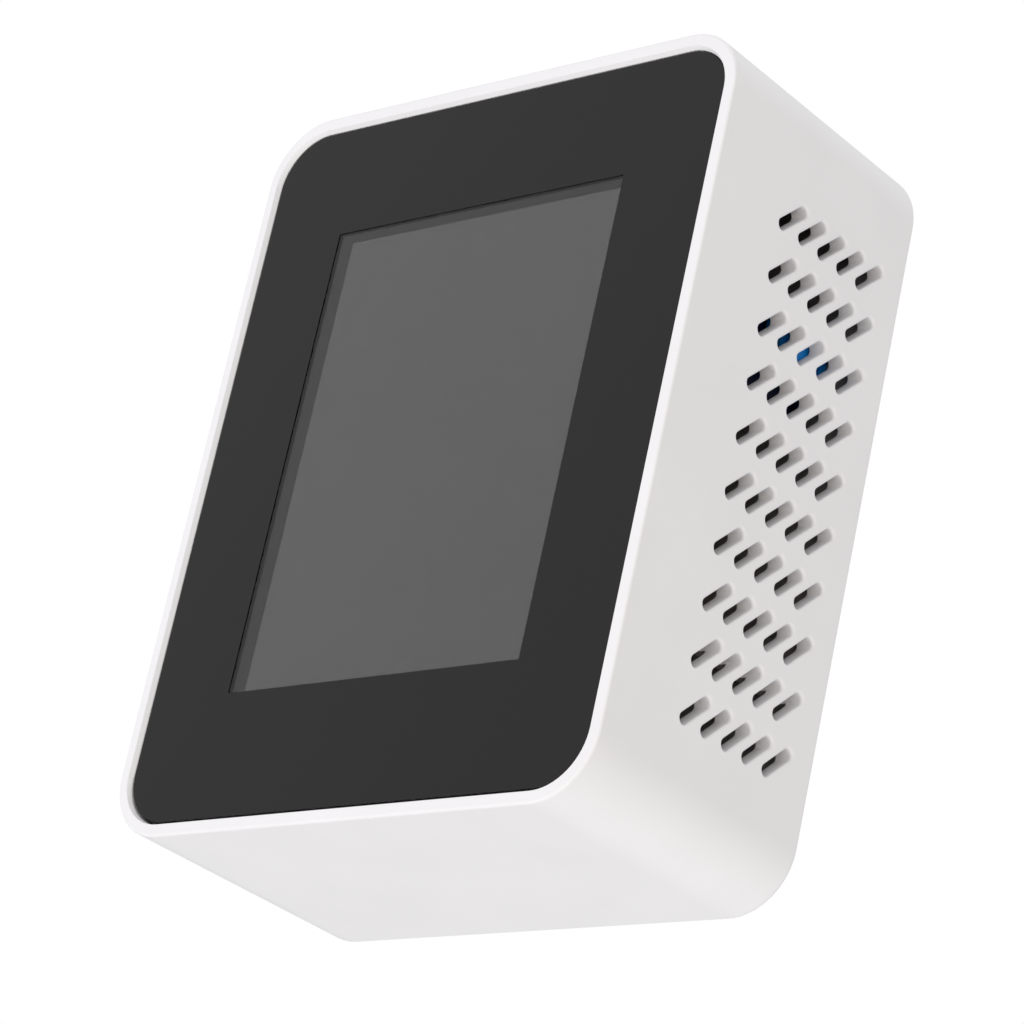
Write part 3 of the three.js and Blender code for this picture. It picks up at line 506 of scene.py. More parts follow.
STUDIO_LEVEL = 0.65
FLOOR_HALF, FLOOR_Z = 1500, -0.02


def add_studio():
    """White surroundings, soft lights, and a pale floor that shows only from above."""
    scene = bpy.context.scene
    scene.view_settings.view_transform = "Standard"
    world = bpy.data.worlds.new("studio")
    scene.world = world
    world.use_nodes = True
    nodes, links = world.node_tree.nodes, world.node_tree.links
    nodes.clear()
    output = nodes.new("ShaderNodeOutputWorld")
    seen = nodes.new("ShaderNodeBackground")
    lit = nodes.new("ShaderNodeBackground")
    mix = nodes.new("ShaderNodeMixShader")
    path = nodes.new("ShaderNodeLightPath")
    seen.inputs["Color"].default_value = (1, 1, 1, 1)
    lit.inputs["Color"].default_value = (1, 1, 1, 1)
    lit.inputs["Strength"].default_value = STUDIO_LEVEL
    links.new(path.outputs["Is Camera Ray"], mix.inputs["Fac"])
    links.new(lit.outputs["Background"], mix.inputs[1])
    links.new(seen.outputs["Background"], mix.inputs[2])
    links.new(mix.outputs["Shader"], output.inputs["Surface"])

    add_light("front_light", (-0.35, -0.9, 0.35), 0.5, 3.25, (0.94, 0.94, 1.0))
    add_light("under_light", (0.1, -0.25, -0.8), 0.5, 2.3, (1.0, 0.985, 0.98))
    add_light("top_light", (0.1, 0.3, 1.0), 0.6, 3.0)
    add_light("side_light", (0.45, -0.36, -0.12), 0.3, 0.56, (1.0, 0.9, 0.74))

    bm = bmesh.new()
    signs = ((-1, -1), (1, -1), (1, 1), (-1, 1))
    bm.faces.new([bm.verts.new((x * FLOOR_HALF, y * FLOOR_HALF, FLOOR_Z)) for x, y in signs])
    floor = new_object("floor", mesh_from_bm("floor", bm))
    pale = Material("floor_paper", Roughness=0.9)
    pale.colour(pale.blend(pale.noise(60, 2), linear(236, 236, 238), linear(242, 242, 243)))
    clear = pale.add("ShaderNodeBsdfTransparent")
    side = pale.add("ShaderNodeNewGeometry")
    choose = pale.add("ShaderNodeMixShader")
    pale.link(side.outputs["Backfacing"], choose.inputs["Fac"])
    pale.link(pale.shader.outputs["BSDF"], choose.inputs[1])
    pale.link(clear.outputs["BSDF"], choose.inputs[2])
    pale.link(choose.outputs["Shader"], pale.output.inputs["Surface"])
    floor.data.materials.append(pale.material)
    floor.visible_diffuse = False
    floor.visible_glossy = False
    floor.visible_transmission = False
    floor.visible_shadow = False


# ---------------------------------------------------------------- pieces


def clothe(obj, look, angle=32):
    """Gives a mesh one material and its smooth shading."""
    obj.data.materials.clear()
    obj.data.materials.append(MATERIALS[look])
    smooth(obj, angle)


def present(obj, node, body="monitor"):
    """Hides the CAD node a piece stands for, if any, and puts the piece under its body's empty."""
    if node:
        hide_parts(node)
    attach(obj, body)


def shell_ring(inset, back_share=0.0):
    """The shell's outline, drafted towards the back."""
    narrow = inset + DRAFT * back_share
    return rounded_rect(
        0, MIDDLE_Z, WIDTH - 2 * narrow, HEIGHT - 2 * narrow, CORNER_RADIUS - narrow, CORNER_STEPS
    )


def side_plane(y):
    """The drafted side face's distance from the middle plane at a depth y."""
    return WIDTH / 2 - DRAFT * (y - FRONT) / DEPTH


def vent_cutter(bm, side, y, z):
    """A slanted slot whose mouth on the drafted face is rounded over."""
    rings = []
    lip = [(inset, depth + 0.002) for inset, depth in rounding(VENT_LIP, 5)]
    for offset, depth in [(VENT_LIP + 0.03, -0.6), *lip]:
        outline = pill(y, z, VENT_LENGTH + 2 * offset, VENT_WIDTH + 2 * offset, VENT_TILT, 7)
        rings.append((outline, lambda u, v, d=depth: side * (side_plane(u) - d)))
    outline = pill(y, z, VENT_LENGTH, VENT_WIDTH, VENT_TILT, 7)
    rings.append((outline, side * (INNER_X - 0.7)))
    loft(bm, "x", rings)


def build_housing():
    rings = []
    draft_at = lambda y: (y - FRONT) / DEPTH
    edges = [(inset, BACK - depth) for inset, depth in rounding(BACK_FILLET, 6)]
    edges += [(inset, FRONT + depth) for inset, depth in reversed(rounding(RIM_FILLET, 6))]
    for inset, level in edges:
        rings.append((shell_ring(inset, draft_at(level)), level))
    pocket = rounded_rect(0, MIDDLE_Z, 2 * INNER_X, HEIGHT - 2 * WALL, POCKET_RADIUS)
    rebate = lambda grow, skew=0.0: rounded_rect(
        -skew,
        REBATE_Z + skew,
        REBATE_WIDTH + 2 * grow,
        REBATE_HEIGHT + 2 * grow,
        REBATE_RADIUS + grow,
        CORNER_STEPS,
    )
    rebate_floor = box_mm("front_frame")[0].y + FRAME_THICKNESS + FIT_GAP
    rings += [(rebate(inset, LIP_SKEW * inset), FRONT + depth) for inset, depth in LIP_PROFILE]
    # This ring splits the rebate wall where the painted shade on the inside begins.
    rings.append((rebate(0), FRONT + PAINTED_SHADE_START))
    rings.append((rebate(0), rebate_floor))
    rings += [(pocket, rebate_floor), (pocket, INNER_BACK)]
    housing = lofted("shell", "y", rings)

    bm = bmesh.new()
    corners = [(sx * SCREW_X, MIDDLE_Z + sz * SCREW_Z) for sx in (-1, 1) for sz in (-1, 1)]
    for x, z in corners:
        prism(bm, "y", circle(x, z, BOSS_RADIUS), BOSS_FACE, INNER_BACK + ROOT)
    for side in (-1, 1):
        tip, root = side * (INNER_X - RIB_REACH), side * (INNER_X + 1)
        low = (min(tip, root), RIB_FRONT, RIB_BOTTOM)
        high = (max(tip, root), INNER_BACK + ROOT, RIB_BOTTOM + RIB_THICKNESS)
        add_block(bm, low, high, 0.15)
    for x in (-POWER_BOSS_X, POWER_BOSS_X):
        boss = circle(x, POWER_BOSS_Z, POWER_BOSS_RADIUS, 24)
        prism(bm, "y", boss, POWER_BOARD_BACK + 0.05, INNER_BACK + ROOT)
    combine(housing, bm, "UNION")

    bm = bmesh.new()
    for x, z in corners:
        bore = lambda grow: circle(x, z, COUNTERBORE_RADIUS + grow)
        loft(bm, "y", [
            (bore(MOUTH_CHAMFER + OVERCUT), BACK + OVERCUT),
            (bore(0), BACK - MOUTH_CHAMFER),
            (bore(0), BACK - COUNTERBORE_DEPTH),
            (circle(x, z, SCREW_HOLE_RADIUS), BACK - COUNTERBORE_DEPTH),
            (circle(x, z, SCREW_HOLE_RADIUS), BOSS_FACE - OVERCUT),
        ])
    for x in (-POWER_BOSS_X, POWER_BOSS_X):
        pilot = circle(x, POWER_BOSS_Z, POWER_PILOT_RADIUS, 24)
        prism(bm, "y", pilot, POWER_BOARD_BACK - OVERCUT, INNER_BACK - 0.6)
    button_low, button_high = box_mm("power_button")
    button_x = (button_low.x + button_high.x) / 2
    button_y = (button_low.y + button_high.y) / 2
    hole = pill_shape(
        button_x, button_y, BUTTON_LENGTH + 2 * BUTTON_GAP, BUTTON_WIDTH + 2 * BUTTON_GAP, 16
    )
    loft(bm, "z", [
        (hole(0), INNER_TOP - 0.7),
        (hole(0), HEIGHT - MOUTH_CHAMFER),
        (hole(-MOUTH_CHAMFER - OVERCUT), HEIGHT + OVERCUT),
    ])
    port = pill_shape(0, PORT_Z, PORT_WIDTH + 2 * PORT_GAP, PORT_HEIGHT + 2 * PORT_GAP, 14)
    loft(bm, "y", [
        (port(0), INNER_BACK - 0.7),
        (port(0), BACK - MOUTH_CHAMFER),
        (port(-MOUTH_CHAMFER - OVERCUT), BACK + OVERCUT),
    ])
    for side in (-1, 1):
        for row in range(VENT_ROWS):
            z = VENT_TOP_Z - row * VENT_PITCH_Z
            for column in range(VENT_COLUMNS):
                vent_cutter(bm, side, VENT_FIRST_Y + column * VENT_PITCH_Y, z)
    combine(housing, bm, "DIFFERENCE")

    # Faces inside the shell, some way behind the front, take the second material, except the rib
    # and the vents' walls. It is a grey painted shade that stands for the shadow inside, on what is
    # white plastic.
    housing.data.materials.clear()
    housing.data.materials.append(MATERIALS["white_plastic"])
    housing.data.materials.append(MATERIALS["painted_interior_shade"])
    eps = 0.01
    for face in housing.data.polygons:
        points = [housing.data.vertices[i].co / MM for i in face.vertices]
        inside = all(
            abs(p.x) < WIDTH / 2 - RIM + eps
            and RIM - eps < p.z < HEIGHT - RIM_TOP + eps
            and FRONT + PAINTED_SHADE_START - eps < p.y < INNER_BACK + eps
            for p in points
        )
        on_rib = all(
            abs(p.x) < INNER_X - eps and RIB_BOTTOM - eps < p.z < RIB_BOTTOM + RIB_THICKNESS + eps
            for p in points
        )
        in_vent = any(abs(p.x) > INNER_X + eps and p.y > rebate_floor + eps for p in points)
        face.material_index = 1 if inside and not on_rib and not in_vent else 0
    smooth(housing)
    present(housing, "housing")


def plate_with_hole(name, outer, hole, low, high, edge=0.0, hole_edge=0.0):
    """A thin plate in the x-z plane between two depths, with one opening."""
    rings = eased(outer, low, high, edge, edge, 3)
    inner = eased(lambda inset: hole(-inset), low, high, hole_edge, hole_edge, 3)
    body = lofted(name, "y", rings)
    bm = bmesh.new()
    loft(bm, "y", [
        (hole(-hole_edge), low - OVERCUT), *inner, (hole(-hole_edge), high + OVERCUT)
    ])
    combine(body, bm, "DIFFERENCE")
    return body


def piece(name, bm, node, slot, cuts=None, angle=32, body="monitor"):
    """A piece from a bmesh, less what another bmesh cuts out. node is None for added detail."""
    obj = new_object(name, mesh_from_bm(name, bm))
    if cuts is not None:
        combine(obj, cuts, "DIFFERENCE")
    clothe(obj, slot, angle)
    present(obj, node, body)


def build_front():
    low, high = box_mm("lens_mask")
    panel_z = (low.z + high.z) / 2
    outer = rect_shape(0, panel_z, high.x - low.x, high.z - low.z, PANEL_RADIUS, CORNER_STEPS)
    hole = rect_shape(WINDOW_X, WINDOW_Z, WINDOW_WIDTH, WINDOW_HEIGHT, 0.15, 3)
    mask = plate_with_hole("mask", outer, hole, high.y - FILM, high.y, 0.01)
    clothe(mask, "black_print")
    present(mask, "lens_mask")

    low, high = box_mm("front_lens")
    lens = lofted("lens", "y", eased(outer, low.y, high.y, 0.1, 0.05, 3))
    clothe(lens, "clear_acrylic")
    lens.visible_shadow = False
    present(lens, "front_lens")


def build_display():
    """The polarizer's film, the cell with its ledge, and the white tray behind them."""
    low, high = box_mm("lcd_polarizer")
    film = behind_window(low, high, 0.3)
    bm = bmesh.new()
    loft(bm, "y", eased(film, low.y, high.y, 0.04, 0, 2))
    piece("picture_film", bm, "lcd_polarizer", "display_face")

    low, high = box_mm("lcd_glass")
    middle = (low.y + high.y) / 2
    cell = behind_window(low, high, 0.3)
    ledge = 2.4
    front_glass = rect_shape(
        WINDOW_X, WINDOW_Z + ledge / 2, high.x - low.x - 0.2, high.z - low.z - ledge, 0.3, 4
    )
    bm = bmesh.new()
    rings = eased(front_glass, low.y, middle, 0.05, 0, 2)
    loft(bm, "y", rings + [(cell(0), middle), (cell(0), high.y)])
    piece("display_cell", bm, "lcd_glass", "display_glass")

    low, high = box_mm("backlight_tray")
    tray = behind_window(low, high, 0.5, 6)
    rim = 1.6
    bm = bmesh.new()
    loft(bm, "y", eased(tray, low.y, high.y, 0.1, 0.3, 3))
    cuts = bmesh.new()
    add_block(
        cuts,
        (low.x + rim, high.y - 0.3, low.z + rim),
        (high.x - rim, high.y + OVERCUT, high.z - rim),
        0.1,
    )
    for side in (-1, 1):
        start, end = sorted((side * high.x - side * 0.5, side * high.x + side))
        for row in range(4):
            z = low.z + (row + 0.5) * (high.z - low.z) / 4
            add_block(cuts, (start, low.y + 0.8, z - 2.5), (end, high.y - 0.6, z + 2.5))
    piece("light_tray", bm, "backlight_tray", "tray_plastic", cuts)

    low, high = box_mm("display_gasket")
    outer = behind_window(low, high, 0.5)
    hole = rect_shape(WINDOW_X, WINDOW_Z, high.x - low.x - 1.8, high.z - low.z - 3.6, 0.3, 4)
    foam = plate_with_hole("foam_frame", outer, hole, low.y, high.y, 0.15, 0.15)
    clothe(foam, "black_foam")
    present(foam, "display_gasket")


# ---------------------------------------------------------------- button and fasteners


def build_button():
    low, high = box_mm("power_button")
    x, y = (low.x + high.x) / 2, (low.y + high.y) / 2
    flange_top = INNER_TOP - BUTTON_GAP
    flange_bottom = flange_top - 0.9
    shape = pill_shape(x, y, BUTTON_LENGTH, BUTTON_WIDTH, 18)
    rings = [
        (shape(-BUTTON_FLANGE + 0.15), flange_bottom),
        (shape(-BUTTON_FLANGE), flange_bottom + 0.15),
        (shape(-BUTTON_FLANGE), flange_top),
        (shape(0), flange_top),
    ]
    for inset, drop in reversed(rounding(0.4, 5)):
        rings.append((shape(inset), high.z - drop))
    dish = ((0.6, 0.01), (0.9, 0.05), (1.3, 0.11), (1.7, 0.15), (2.1, 0.17), (2.4, 0.175))
    for inset, drop in dish:
        rings.append((shape(inset), high.z - drop))
    bm = bmesh.new()
    loft(bm, "z", rings)
    button = new_object("button_cap", mesh_from_bm("button_cap", bm))
    root = flange_bottom + FIT_GAP
    bm = bmesh.new()
    add_block(bm, (x - 1.6, y - 1, low.z), (x + 1.6, y + 1, root), 0.15)
    combine(button, bm, "UNION")
    bm = bmesh.new()
    for side in (-1, 1):
        start, end = sorted((x + side * 1.2, x + side * 4.5))
        add_block(bm, (start, y - 0.4, flange_bottom - 1.2), (end, y + 0.4, root), 0.1)
    combine(button, bm, "UNION")
    clothe(button, "button_plastic", 28)
    present(button, "power_button", "power_button")


def cross_recess(bm, x, z, top, reach, blade, depth, turn):
    """A tapered cross cut into a screw head that faces +Y."""
    rings = []
    for level, share in ((top + OVERCUT, 1.15), (top - depth * 0.5, 0.85), (top - depth, 0.5)):
        long, thin = reach * share, blade * share
        outline = []
        for quarter in range(4):
            angle = turn + math.pi / 2 * quarter
            for u, v in ((long, -thin), (long, thin), (thin, thin)):
                outline.append((
                    x + u * math.cos(angle) - v * math.sin(angle),
                    z + u * math.sin(angle) + v * math.cos(angle),
                ))
        rings.append((outline, level))
    loft(bm, "y", rings)


def build_screw(node, slot, head_radius, head_height, shank_radius, turn, turned_over=False):
    """A pan-head thread-forming screw along Y, its head towards +Y unless turned over."""
    low, high = box_mm(node)
    x, z = middle_xz(low, high)
    seat = high.y - head_height
    core = shank_radius * 0.8
    pitch = 0.8
    level = low.y + 0.9
    profile = [(0, low.y), (shank_radius * 0.35, low.y), (core, level)]
    while level + pitch < seat - 0.3:
        profile += [(shank_radius, level + pitch * 0.35), (core, level + pitch * 0.7)]
        level += pitch
    profile += [(core, seat - 0.05), (head_radius - 0.1, seat), (head_radius, seat + 0.12)]
    steps = 5
    crown = head_height - 0.3
    for i in range(steps + 1):
        angle = math.pi / 2 * i / steps
        profile.append((
            head_radius * (0.55 + 0.45 * math.cos(angle)),
            seat + 0.3 + crown * math.sin(angle),
        ))
    profile.append((0, high.y))
    bm = bmesh.new()
    add_lathe(bm, (x, z), "y", profile, 40)
    cuts = bmesh.new()
    depth = min(1.0, head_height * 0.62)
    cross_recess(cuts, x, z, high.y, head_radius * 0.62, head_radius * 0.14, depth, turn)
    if turned_over:
        for vert in [*bm.verts, *cuts.verts]:
            vert.co.y = low.y + high.y - vert.co.y
    piece(node + "_pan", bm, node, slot, cuts, 30)


def build_screws():
    for index in range(4):
        build_screw(f"housing_screw_{index + 1}", "black_steel", 2.5, 1.6, 1.0, 0.35 + 1.1 * index)
        build_screw(f"board_screw_{index + 1}", "tinned_steel", 1.9, 1.3, 0.8, 0.2 + 0.9 * index)
    for index in range(2):
        node = f"power_board_screw_{index + 1}"
        build_screw(node, "tinned_steel", 1.9, 1.3, 0.8, 0.5 + 0.8 * index, True)


# ---------------------------------------------------------------- charging port


def build_port():
    low, high = box_mm("usb_c_shell")
    shape = pill_shape(0, PORT_Z, PORT_WIDTH, PORT_HEIGHT, 16)
    rings = [(shape(0), low.y)]
    roll, steps = PORT_WALL / 2, 4
    for i in range(2 * steps + 1):
        angle = math.pi * i / (2 * steps)
        rings.append((shape(roll * (1 - math.cos(angle))), high.y - roll * (1 - math.sin(angle))))
    rings.append((shape(PORT_WALL), low.y + 0.8))
    bm = bmesh.new()
    loft(bm, "y", rings)
    piece("port_shell", bm, "usb_c_shell", "tinned_steel")

    low, high = box_mm("usb_c_tongue")
    bm = bmesh.new()
    add_block(bm, tuple(low), tuple(high), 0.12, 3)
    piece("port_tongue", bm, "usb_c_tongue", "black_plastic")
    bm = bmesh.new()
    for face_z, up in ((high.z, 1), (low.z, -1)):
        for index in range(12):
            x = (index - 5.5) * 0.5
            tip = high.y - (0.9 if index in (0, 3, 8, 11) else 1.3)
            bottom, top = sorted((face_z - up * 0.06, face_z + up * 0.03))
            add_block(bm, (x - 0.13, low.y + 0.6, bottom), (x + 0.13, tip, top), 0.01, 1)
    piece("port_contacts", bm, None, "gold_plate")


# ---------------------------------------------------------------- sensors behind the vents


def build_climate_sensor():
    low, high = box_mm("climate_sensor")
    face_x = high.x - NOSE_REACH
    body = bmesh.new()
    add_block(body, tuple(low), (face_x, high.y, high.z), 0.35, 3)
    capsule = new_object("climate_body", mesh_from_bm("climate_body", body))
    nose = bmesh.new()
    outline = rect_shape(
        (NOSE_Y[0] + NOSE_Y[1]) / 2,
        (NOSE_Z[0] + NOSE_Z[1]) / 2,
        NOSE_Y[1] - NOSE_Y[0],
        NOSE_Z[1] - NOSE_Z[0],
        0.5,
        5,
    )
    loft(nose, "x", eased(outline, face_x - 0.5, high.x, 0, 0.25, 3))
    combine(capsule, nose, "UNION")
    cuts = bmesh.new()
    for y in (9.0, 10.7):
        louvre = pill(y, (low.z + high.z) / 2, high.z - low.z - 2, 0.8, math.pi / 2, 6)
        prism(cuts, "x", louvre, face_x - 1.1, face_x + OVERCUT)
    combine(capsule, cuts, "DIFFERENCE")
    clothe(capsule, "blue_plastic")
    present(capsule, "climate_sensor")

    low, high = box_mm("climate_board")
    bm = bmesh.new()
    middle = ((low.y + high.y) / 2, (low.z + high.z) / 2)
    outline = rect_shape(*middle, high.y - low.y, high.z - low.z, 0.8, 5)
    loft(bm, "x", eased(outline, low.x, high.x, 0.05, 0.05, 1))
    cuts = bmesh.new()
    for z in (low.z + 1.6, high.z - 1.6):
        prism(cuts, "x", circle(high.y - 1.7, z, 0.8, 20), low.x - 1, high.x + 1)
    piece("climate_circuit", bm, "climate_board", "blue_board", cuts)
    bm = bmesh.new()
    for index in range(4):
        z = low.z + 3.5 + index * 2
        start, end = (high.x - 0.02, low.y + 0.8, z - 0.5), (high.x + 0.45, low.y + 1.6, z + 0.5)
        add_block(bm, start, end, 0.08)
    piece("climate_parts", bm, None, "tinned_steel")


# ---------------------------------------------------------------- boards and their parts


def clear_of(board, face, margin):
    """The x-z areas on a board's face that other nodes stand on."""
    areas = []
    for name in frame["nodes"]:
        if name in ("housing", "front_frame", board):
            continue
        low, high = box_mm(name)
        if low.y < face + 1.4 and high.y > face + 0.01:
            areas.append((low.x - margin, high.x + margin, low.z - margin, high.z + margin))
    return areas


def build_chips(board, face, toward, count, seed):
    """Ceramic chips with tinned ends, strewn over the open areas of a board."""
    low, high = box_mm(board)
    areas = clear_of(board, face, CHIP_LENGTH)
    draw = random.Random(seed)
    bodies, ends = bmesh.new(), bmesh.new()
    placed = 0
    while placed < count:
        x = draw.uniform(low.x + 2, high.x - 2)
        z = draw.uniform(low.z + 2, high.z - 2)
        upright = draw.random() < 0.5
        height = draw.uniform(0.45, 0.9)
        if any(a < x < b and c < z < d for a, b, c, d in areas):
            continue
        areas.append((x - 2, x + 2, z - 2, z + 2))
        placed += 1
        half_length, half_width = CHIP_LENGTH / 2, CHIP_WIDTH / 2
        for bm, reach, across, lift in (
            (bodies, half_length - 0.15, half_width - 0.03, height - 0.03),
            (ends, half_length, half_width, height),
        ):
            spans = [(-reach, reach)]
            if bm is ends:
                spans = [(-reach, -reach + 0.3), (reach - 0.3, reach)]
            for start, end in spans:
                along, over = (start, end), (-across, across)
                us, vs = (over, along) if upright else (along, over)
                ys = sorted((face, face + toward * lift))
                first, last = [(x + us[i], ys[i], z + vs[i]) for i in (0, 1)]
                add_block(bm, first, last, 0.04, 1)
    piece(board + "_chips", bodies, None, "chip_epoxy")
    piece(board + "_chip_ends", ends, None, "tinned_steel")


def build_microcontroller():
    """A square package with a row of gull-wing leads down each side."""
    low, high = box_mm("microcontroller")
    x, z = middle_xz(low, high)
    side = high.x - low.x - 2 * LEAD_REACH
    body = rect_shape(x, z, side, side, 0.3, 3)
    waist = (low.y + high.y) / 2
    bm = bmesh.new()
    loft(bm, "y", [
        (body(0.2), low.y + 0.1),
        (body(0), waist - 0.05),
        (body(0), waist + 0.05),
        (body(0.2), high.y),
    ])
    cuts = bmesh.new()
    dot = side / 2 - 1.2
    prism(cuts, "y", circle(x - dot, z + dot, 0.35, 20), high.y - 0.08, high.y + OVERCUT)
    piece("microcontroller_body", bm, "microcontroller", "chip_epoxy", cuts, 20)

    bm = bmesh.new()
    reach, count, pitch, half = side / 2, 11, 0.65, 0.13
    tip = (high.x - low.x) / 2
    for quarter in range(4):
        turn = Matrix.Rotation(math.pi / 2 * quarter, 4, "Y")
        for index in range(count):
            u = (index - (count - 1) / 2) * pitch
            for start, end, bottom, top in (
                (reach - 0.1, reach + 0.35, waist - 0.08, waist + 0.08),
                (reach + 0.2, reach + 0.38, low.y, waist + 0.08),
                (reach + 0.2, tip, low.y, low.y + 0.15),
            ):
                before = set(bm.verts)
                add_block(bm, (u - half, bottom, start), (u + half, top, end))
                for vert in set(bm.verts) - before:
                    vert.co = turn @ vert.co + Vector((x, 0, z))
    piece("microcontroller_leads", bm, "microcontroller", "tinned_steel")


def build_wireless_module():
    """A small board with scalloped edges, a drawn can over its circuit and a meander aerial."""
    low, high = box_mm("wireless_module")
    level = low.y + 0.8
    bm = bmesh.new()
    loft(bm, "y", eased(box_shape(low, high, 0.2, 3), low.y, level, 0.03, 0.03, 1))
    cuts = bmesh.new()
    for edge_x in (low.x, high.x):
        for index in range(14):
            scallop = circle(edge_x, low.z + 1.6 + index * 1.27, 0.3, 12)
            prism(cuts, "y", scallop, low.y - 1, low.y + 2)
    piece("wireless_board", bm, "wireless_module", "blue_board", cuts)
    can = rect_shape((low.x + high.x) / 2, low.z + 9.4, high.x - low.x - 2, 17.2, 0.6, 5)
    bm = bmesh.new()
    rings = [(can(-0.25), level), (can(-0.25), low.y + 0.95), (can(0), low.y + 1.1)]
    rings += eased(can, low.y + 1.1, high.y, 0, 0.3, 4)[1:]
    rings += [(can(1.0), high.y), (can(1.15), high.y - 0.06)]
    loft(bm, "y", rings)
    piece("wireless_can", bm, "wireless_module", "tinned_steel")
    bm = bmesh.new()
    pitch, trace, foil = 2.2, 0.6, level + 0.05
    for index in range(7):
        run_x = low.x + 2 + index * pitch
        add_block(bm, (run_x, level, high.z - 5.6), (run_x + trace, foil, high.z - 1.2))
    for index in range(6):
        run_x = low.x + 2.6 + index * pitch
        link_z = high.z - 1.8 if index % 2 else high.z - 5.6
        add_block(bm, (run_x, level, link_z), (run_x + 1.6, foil, link_z + trace))
    piece("wireless_aerial", bm, None, "gold_plate")


def build_round_parts():
    """The buzzer and the gas sensor's can, which stand on the main board."""
    low, high = box_mm("buzzer")
    centre, radius = middle_xz(low, high), (high.x - low.x) / 2
    bm = bmesh.new()
    add_lathe(bm, centre, "y", [
        (0, low.y), (radius - 0.2, low.y), (radius, low.y + 0.2), (radius, low.y + 0.9),
        (radius - 0.12, low.y + 1.0), (radius - 0.12, high.y - 0.5), (radius - 0.3, high.y - 0.15),
        (radius - 0.65, high.y), (1.3, high.y), (1.1, high.y - 0.15), (1.0, high.y - 1.4),
        (0, high.y - 1.4),
    ], 40)
    piece("buzzer_case", bm, "buzzer", "black_plastic")
    low, high = box_mm("gas_sensor")
    centre, radius = middle_xz(low, high), (high.x - low.x) / 2
    bm = bmesh.new()
    add_lathe(bm, centre, "y", [
        (0, low.y), (radius, low.y), (radius, low.y + 0.4), (radius - 0.55, low.y + 0.45),
        (radius - 0.6, low.y + 0.9), (radius - 0.6, high.y - 0.7), (radius - 0.75, high.y - 0.25),
        (radius - 1.2, high.y), (2.7, high.y), (2.6, high.y - 0.25), (0, high.y - 0.25),
    ], 40)
    cuts = bmesh.new()
    pitch = 0.68
    for i in range(-3, 4):
        for j in range(-3, 4):
            if i * i + j * j < 11:
                hole = circle(centre[0] + i * pitch, centre[1] + j * pitch, 0.22, 10)
                prism(cuts, "y", hole, high.y - 0.6, high.y + OVERCUT)
    piece("gas_sensor_can", bm, "gas_sensor", "tinned_steel", cuts)


def build_carbon_dioxide_sensor():
    low, high = box_mm("co2_sensor_chamber")
    x = (low.x + high.x) / 2
    outline = box_shape(low, high, 3, 8)
    seam = ((0, 0), (0, 3), (0.15, 3.1), (0.15, 3.4), (0, 3.5))
    rings = [(outline(inset), low.y + rise) for inset, rise in seam]
    bm = bmesh.new()
    loft(bm, "y", rings + eased(outline, low.y, high.y, 0, 0.6, 5)[1:])
    cuts = bmesh.new()
    for z in CO2_PORTS_Z:
        port = lambda grow, z=z: circle(x, z, CO2_PORT_RADIUS + grow, 32)
        loft(cuts, "y", [
            (port(0), high.y - 1.8), (port(0), high.y - 0.2), (port(0.5), high.y + 0.3)
        ])
    piece("co2_chamber", bm, "co2_sensor_chamber", "gold_plate", cuts)
    bm = bmesh.new()
    for z in CO2_PORTS_Z:
        cap = circle_shape(x, z, CO2_PORT_RADIUS - 0.1, 32)
        loft(bm, "y", eased(cap, high.y - 1.75, high.y - 1.2, 0, 0.15, 2))
    piece("co2_filters", bm, None, "tray_plastic")

    low, high = box_mm("co2_sensor_board")
    bm = bmesh.new()
    loft(bm, "y", eased(box_shape(low, high, 0.4, 4), low.y, high.y, 0.04, 0.04, 1))
    cuts = bmesh.new()
    for edge_x in (low.x, high.x):
        for index in range(9):
            scallop = circle(edge_x, low.z + 5.8 + index * 2.54, 0.5, 14)
            prism(cuts, "y", scallop, low.y - 1, high.y + 1)
    piece("co2_board", bm, "co2_sensor_board", "green_board", cuts)


def build_switch():
    low, high = box_mm("power_switch")
    x = (low.x + high.x) / 2
    seat = high.y - 0.25
    bm = bmesh.new()
    add_block(bm, tuple(low), (high.x, seat, high.z), 0.15, 2)
    cuts = bmesh.new()
    plunger_low, plunger_high = box_mm("power_switch_plunger")
    gap = 0.15
    add_block(
        cuts,
        (plunger_low.x - gap, plunger_low.y - gap, plunger_low.z - BUTTON_TRAVEL - gap),
        (plunger_high.x + gap, plunger_high.y + gap, high.z + 1),
    )
    piece("switch_base", bm, "power_switch", "black_plastic", cuts)
    bm = bmesh.new()
    add_block(bm, (low.x + 0.1, seat, low.z + 0.1), (high.x - 0.1, high.y, high.z - 0.1), 0.08, 2)
    cuts = bmesh.new()
    for side in (-1, 1):
        stake = circle(x + side * 2.1, low.z + 0.9, 0.3, 16)
        prism(cuts, "y", stake, high.y - 0.6, high.y + OVERCUT)
    piece("switch_cover", bm, "power_switch", "tinned_steel", cuts)
    low, high = plunger_low, plunger_high
    bm = bmesh.new()
    add_block(bm, tuple(low), tuple(high), 0.2, 3)
    piece("switch_plunger", bm, "power_switch_plunger", "ivory_nylon", None, 32, "power_button")


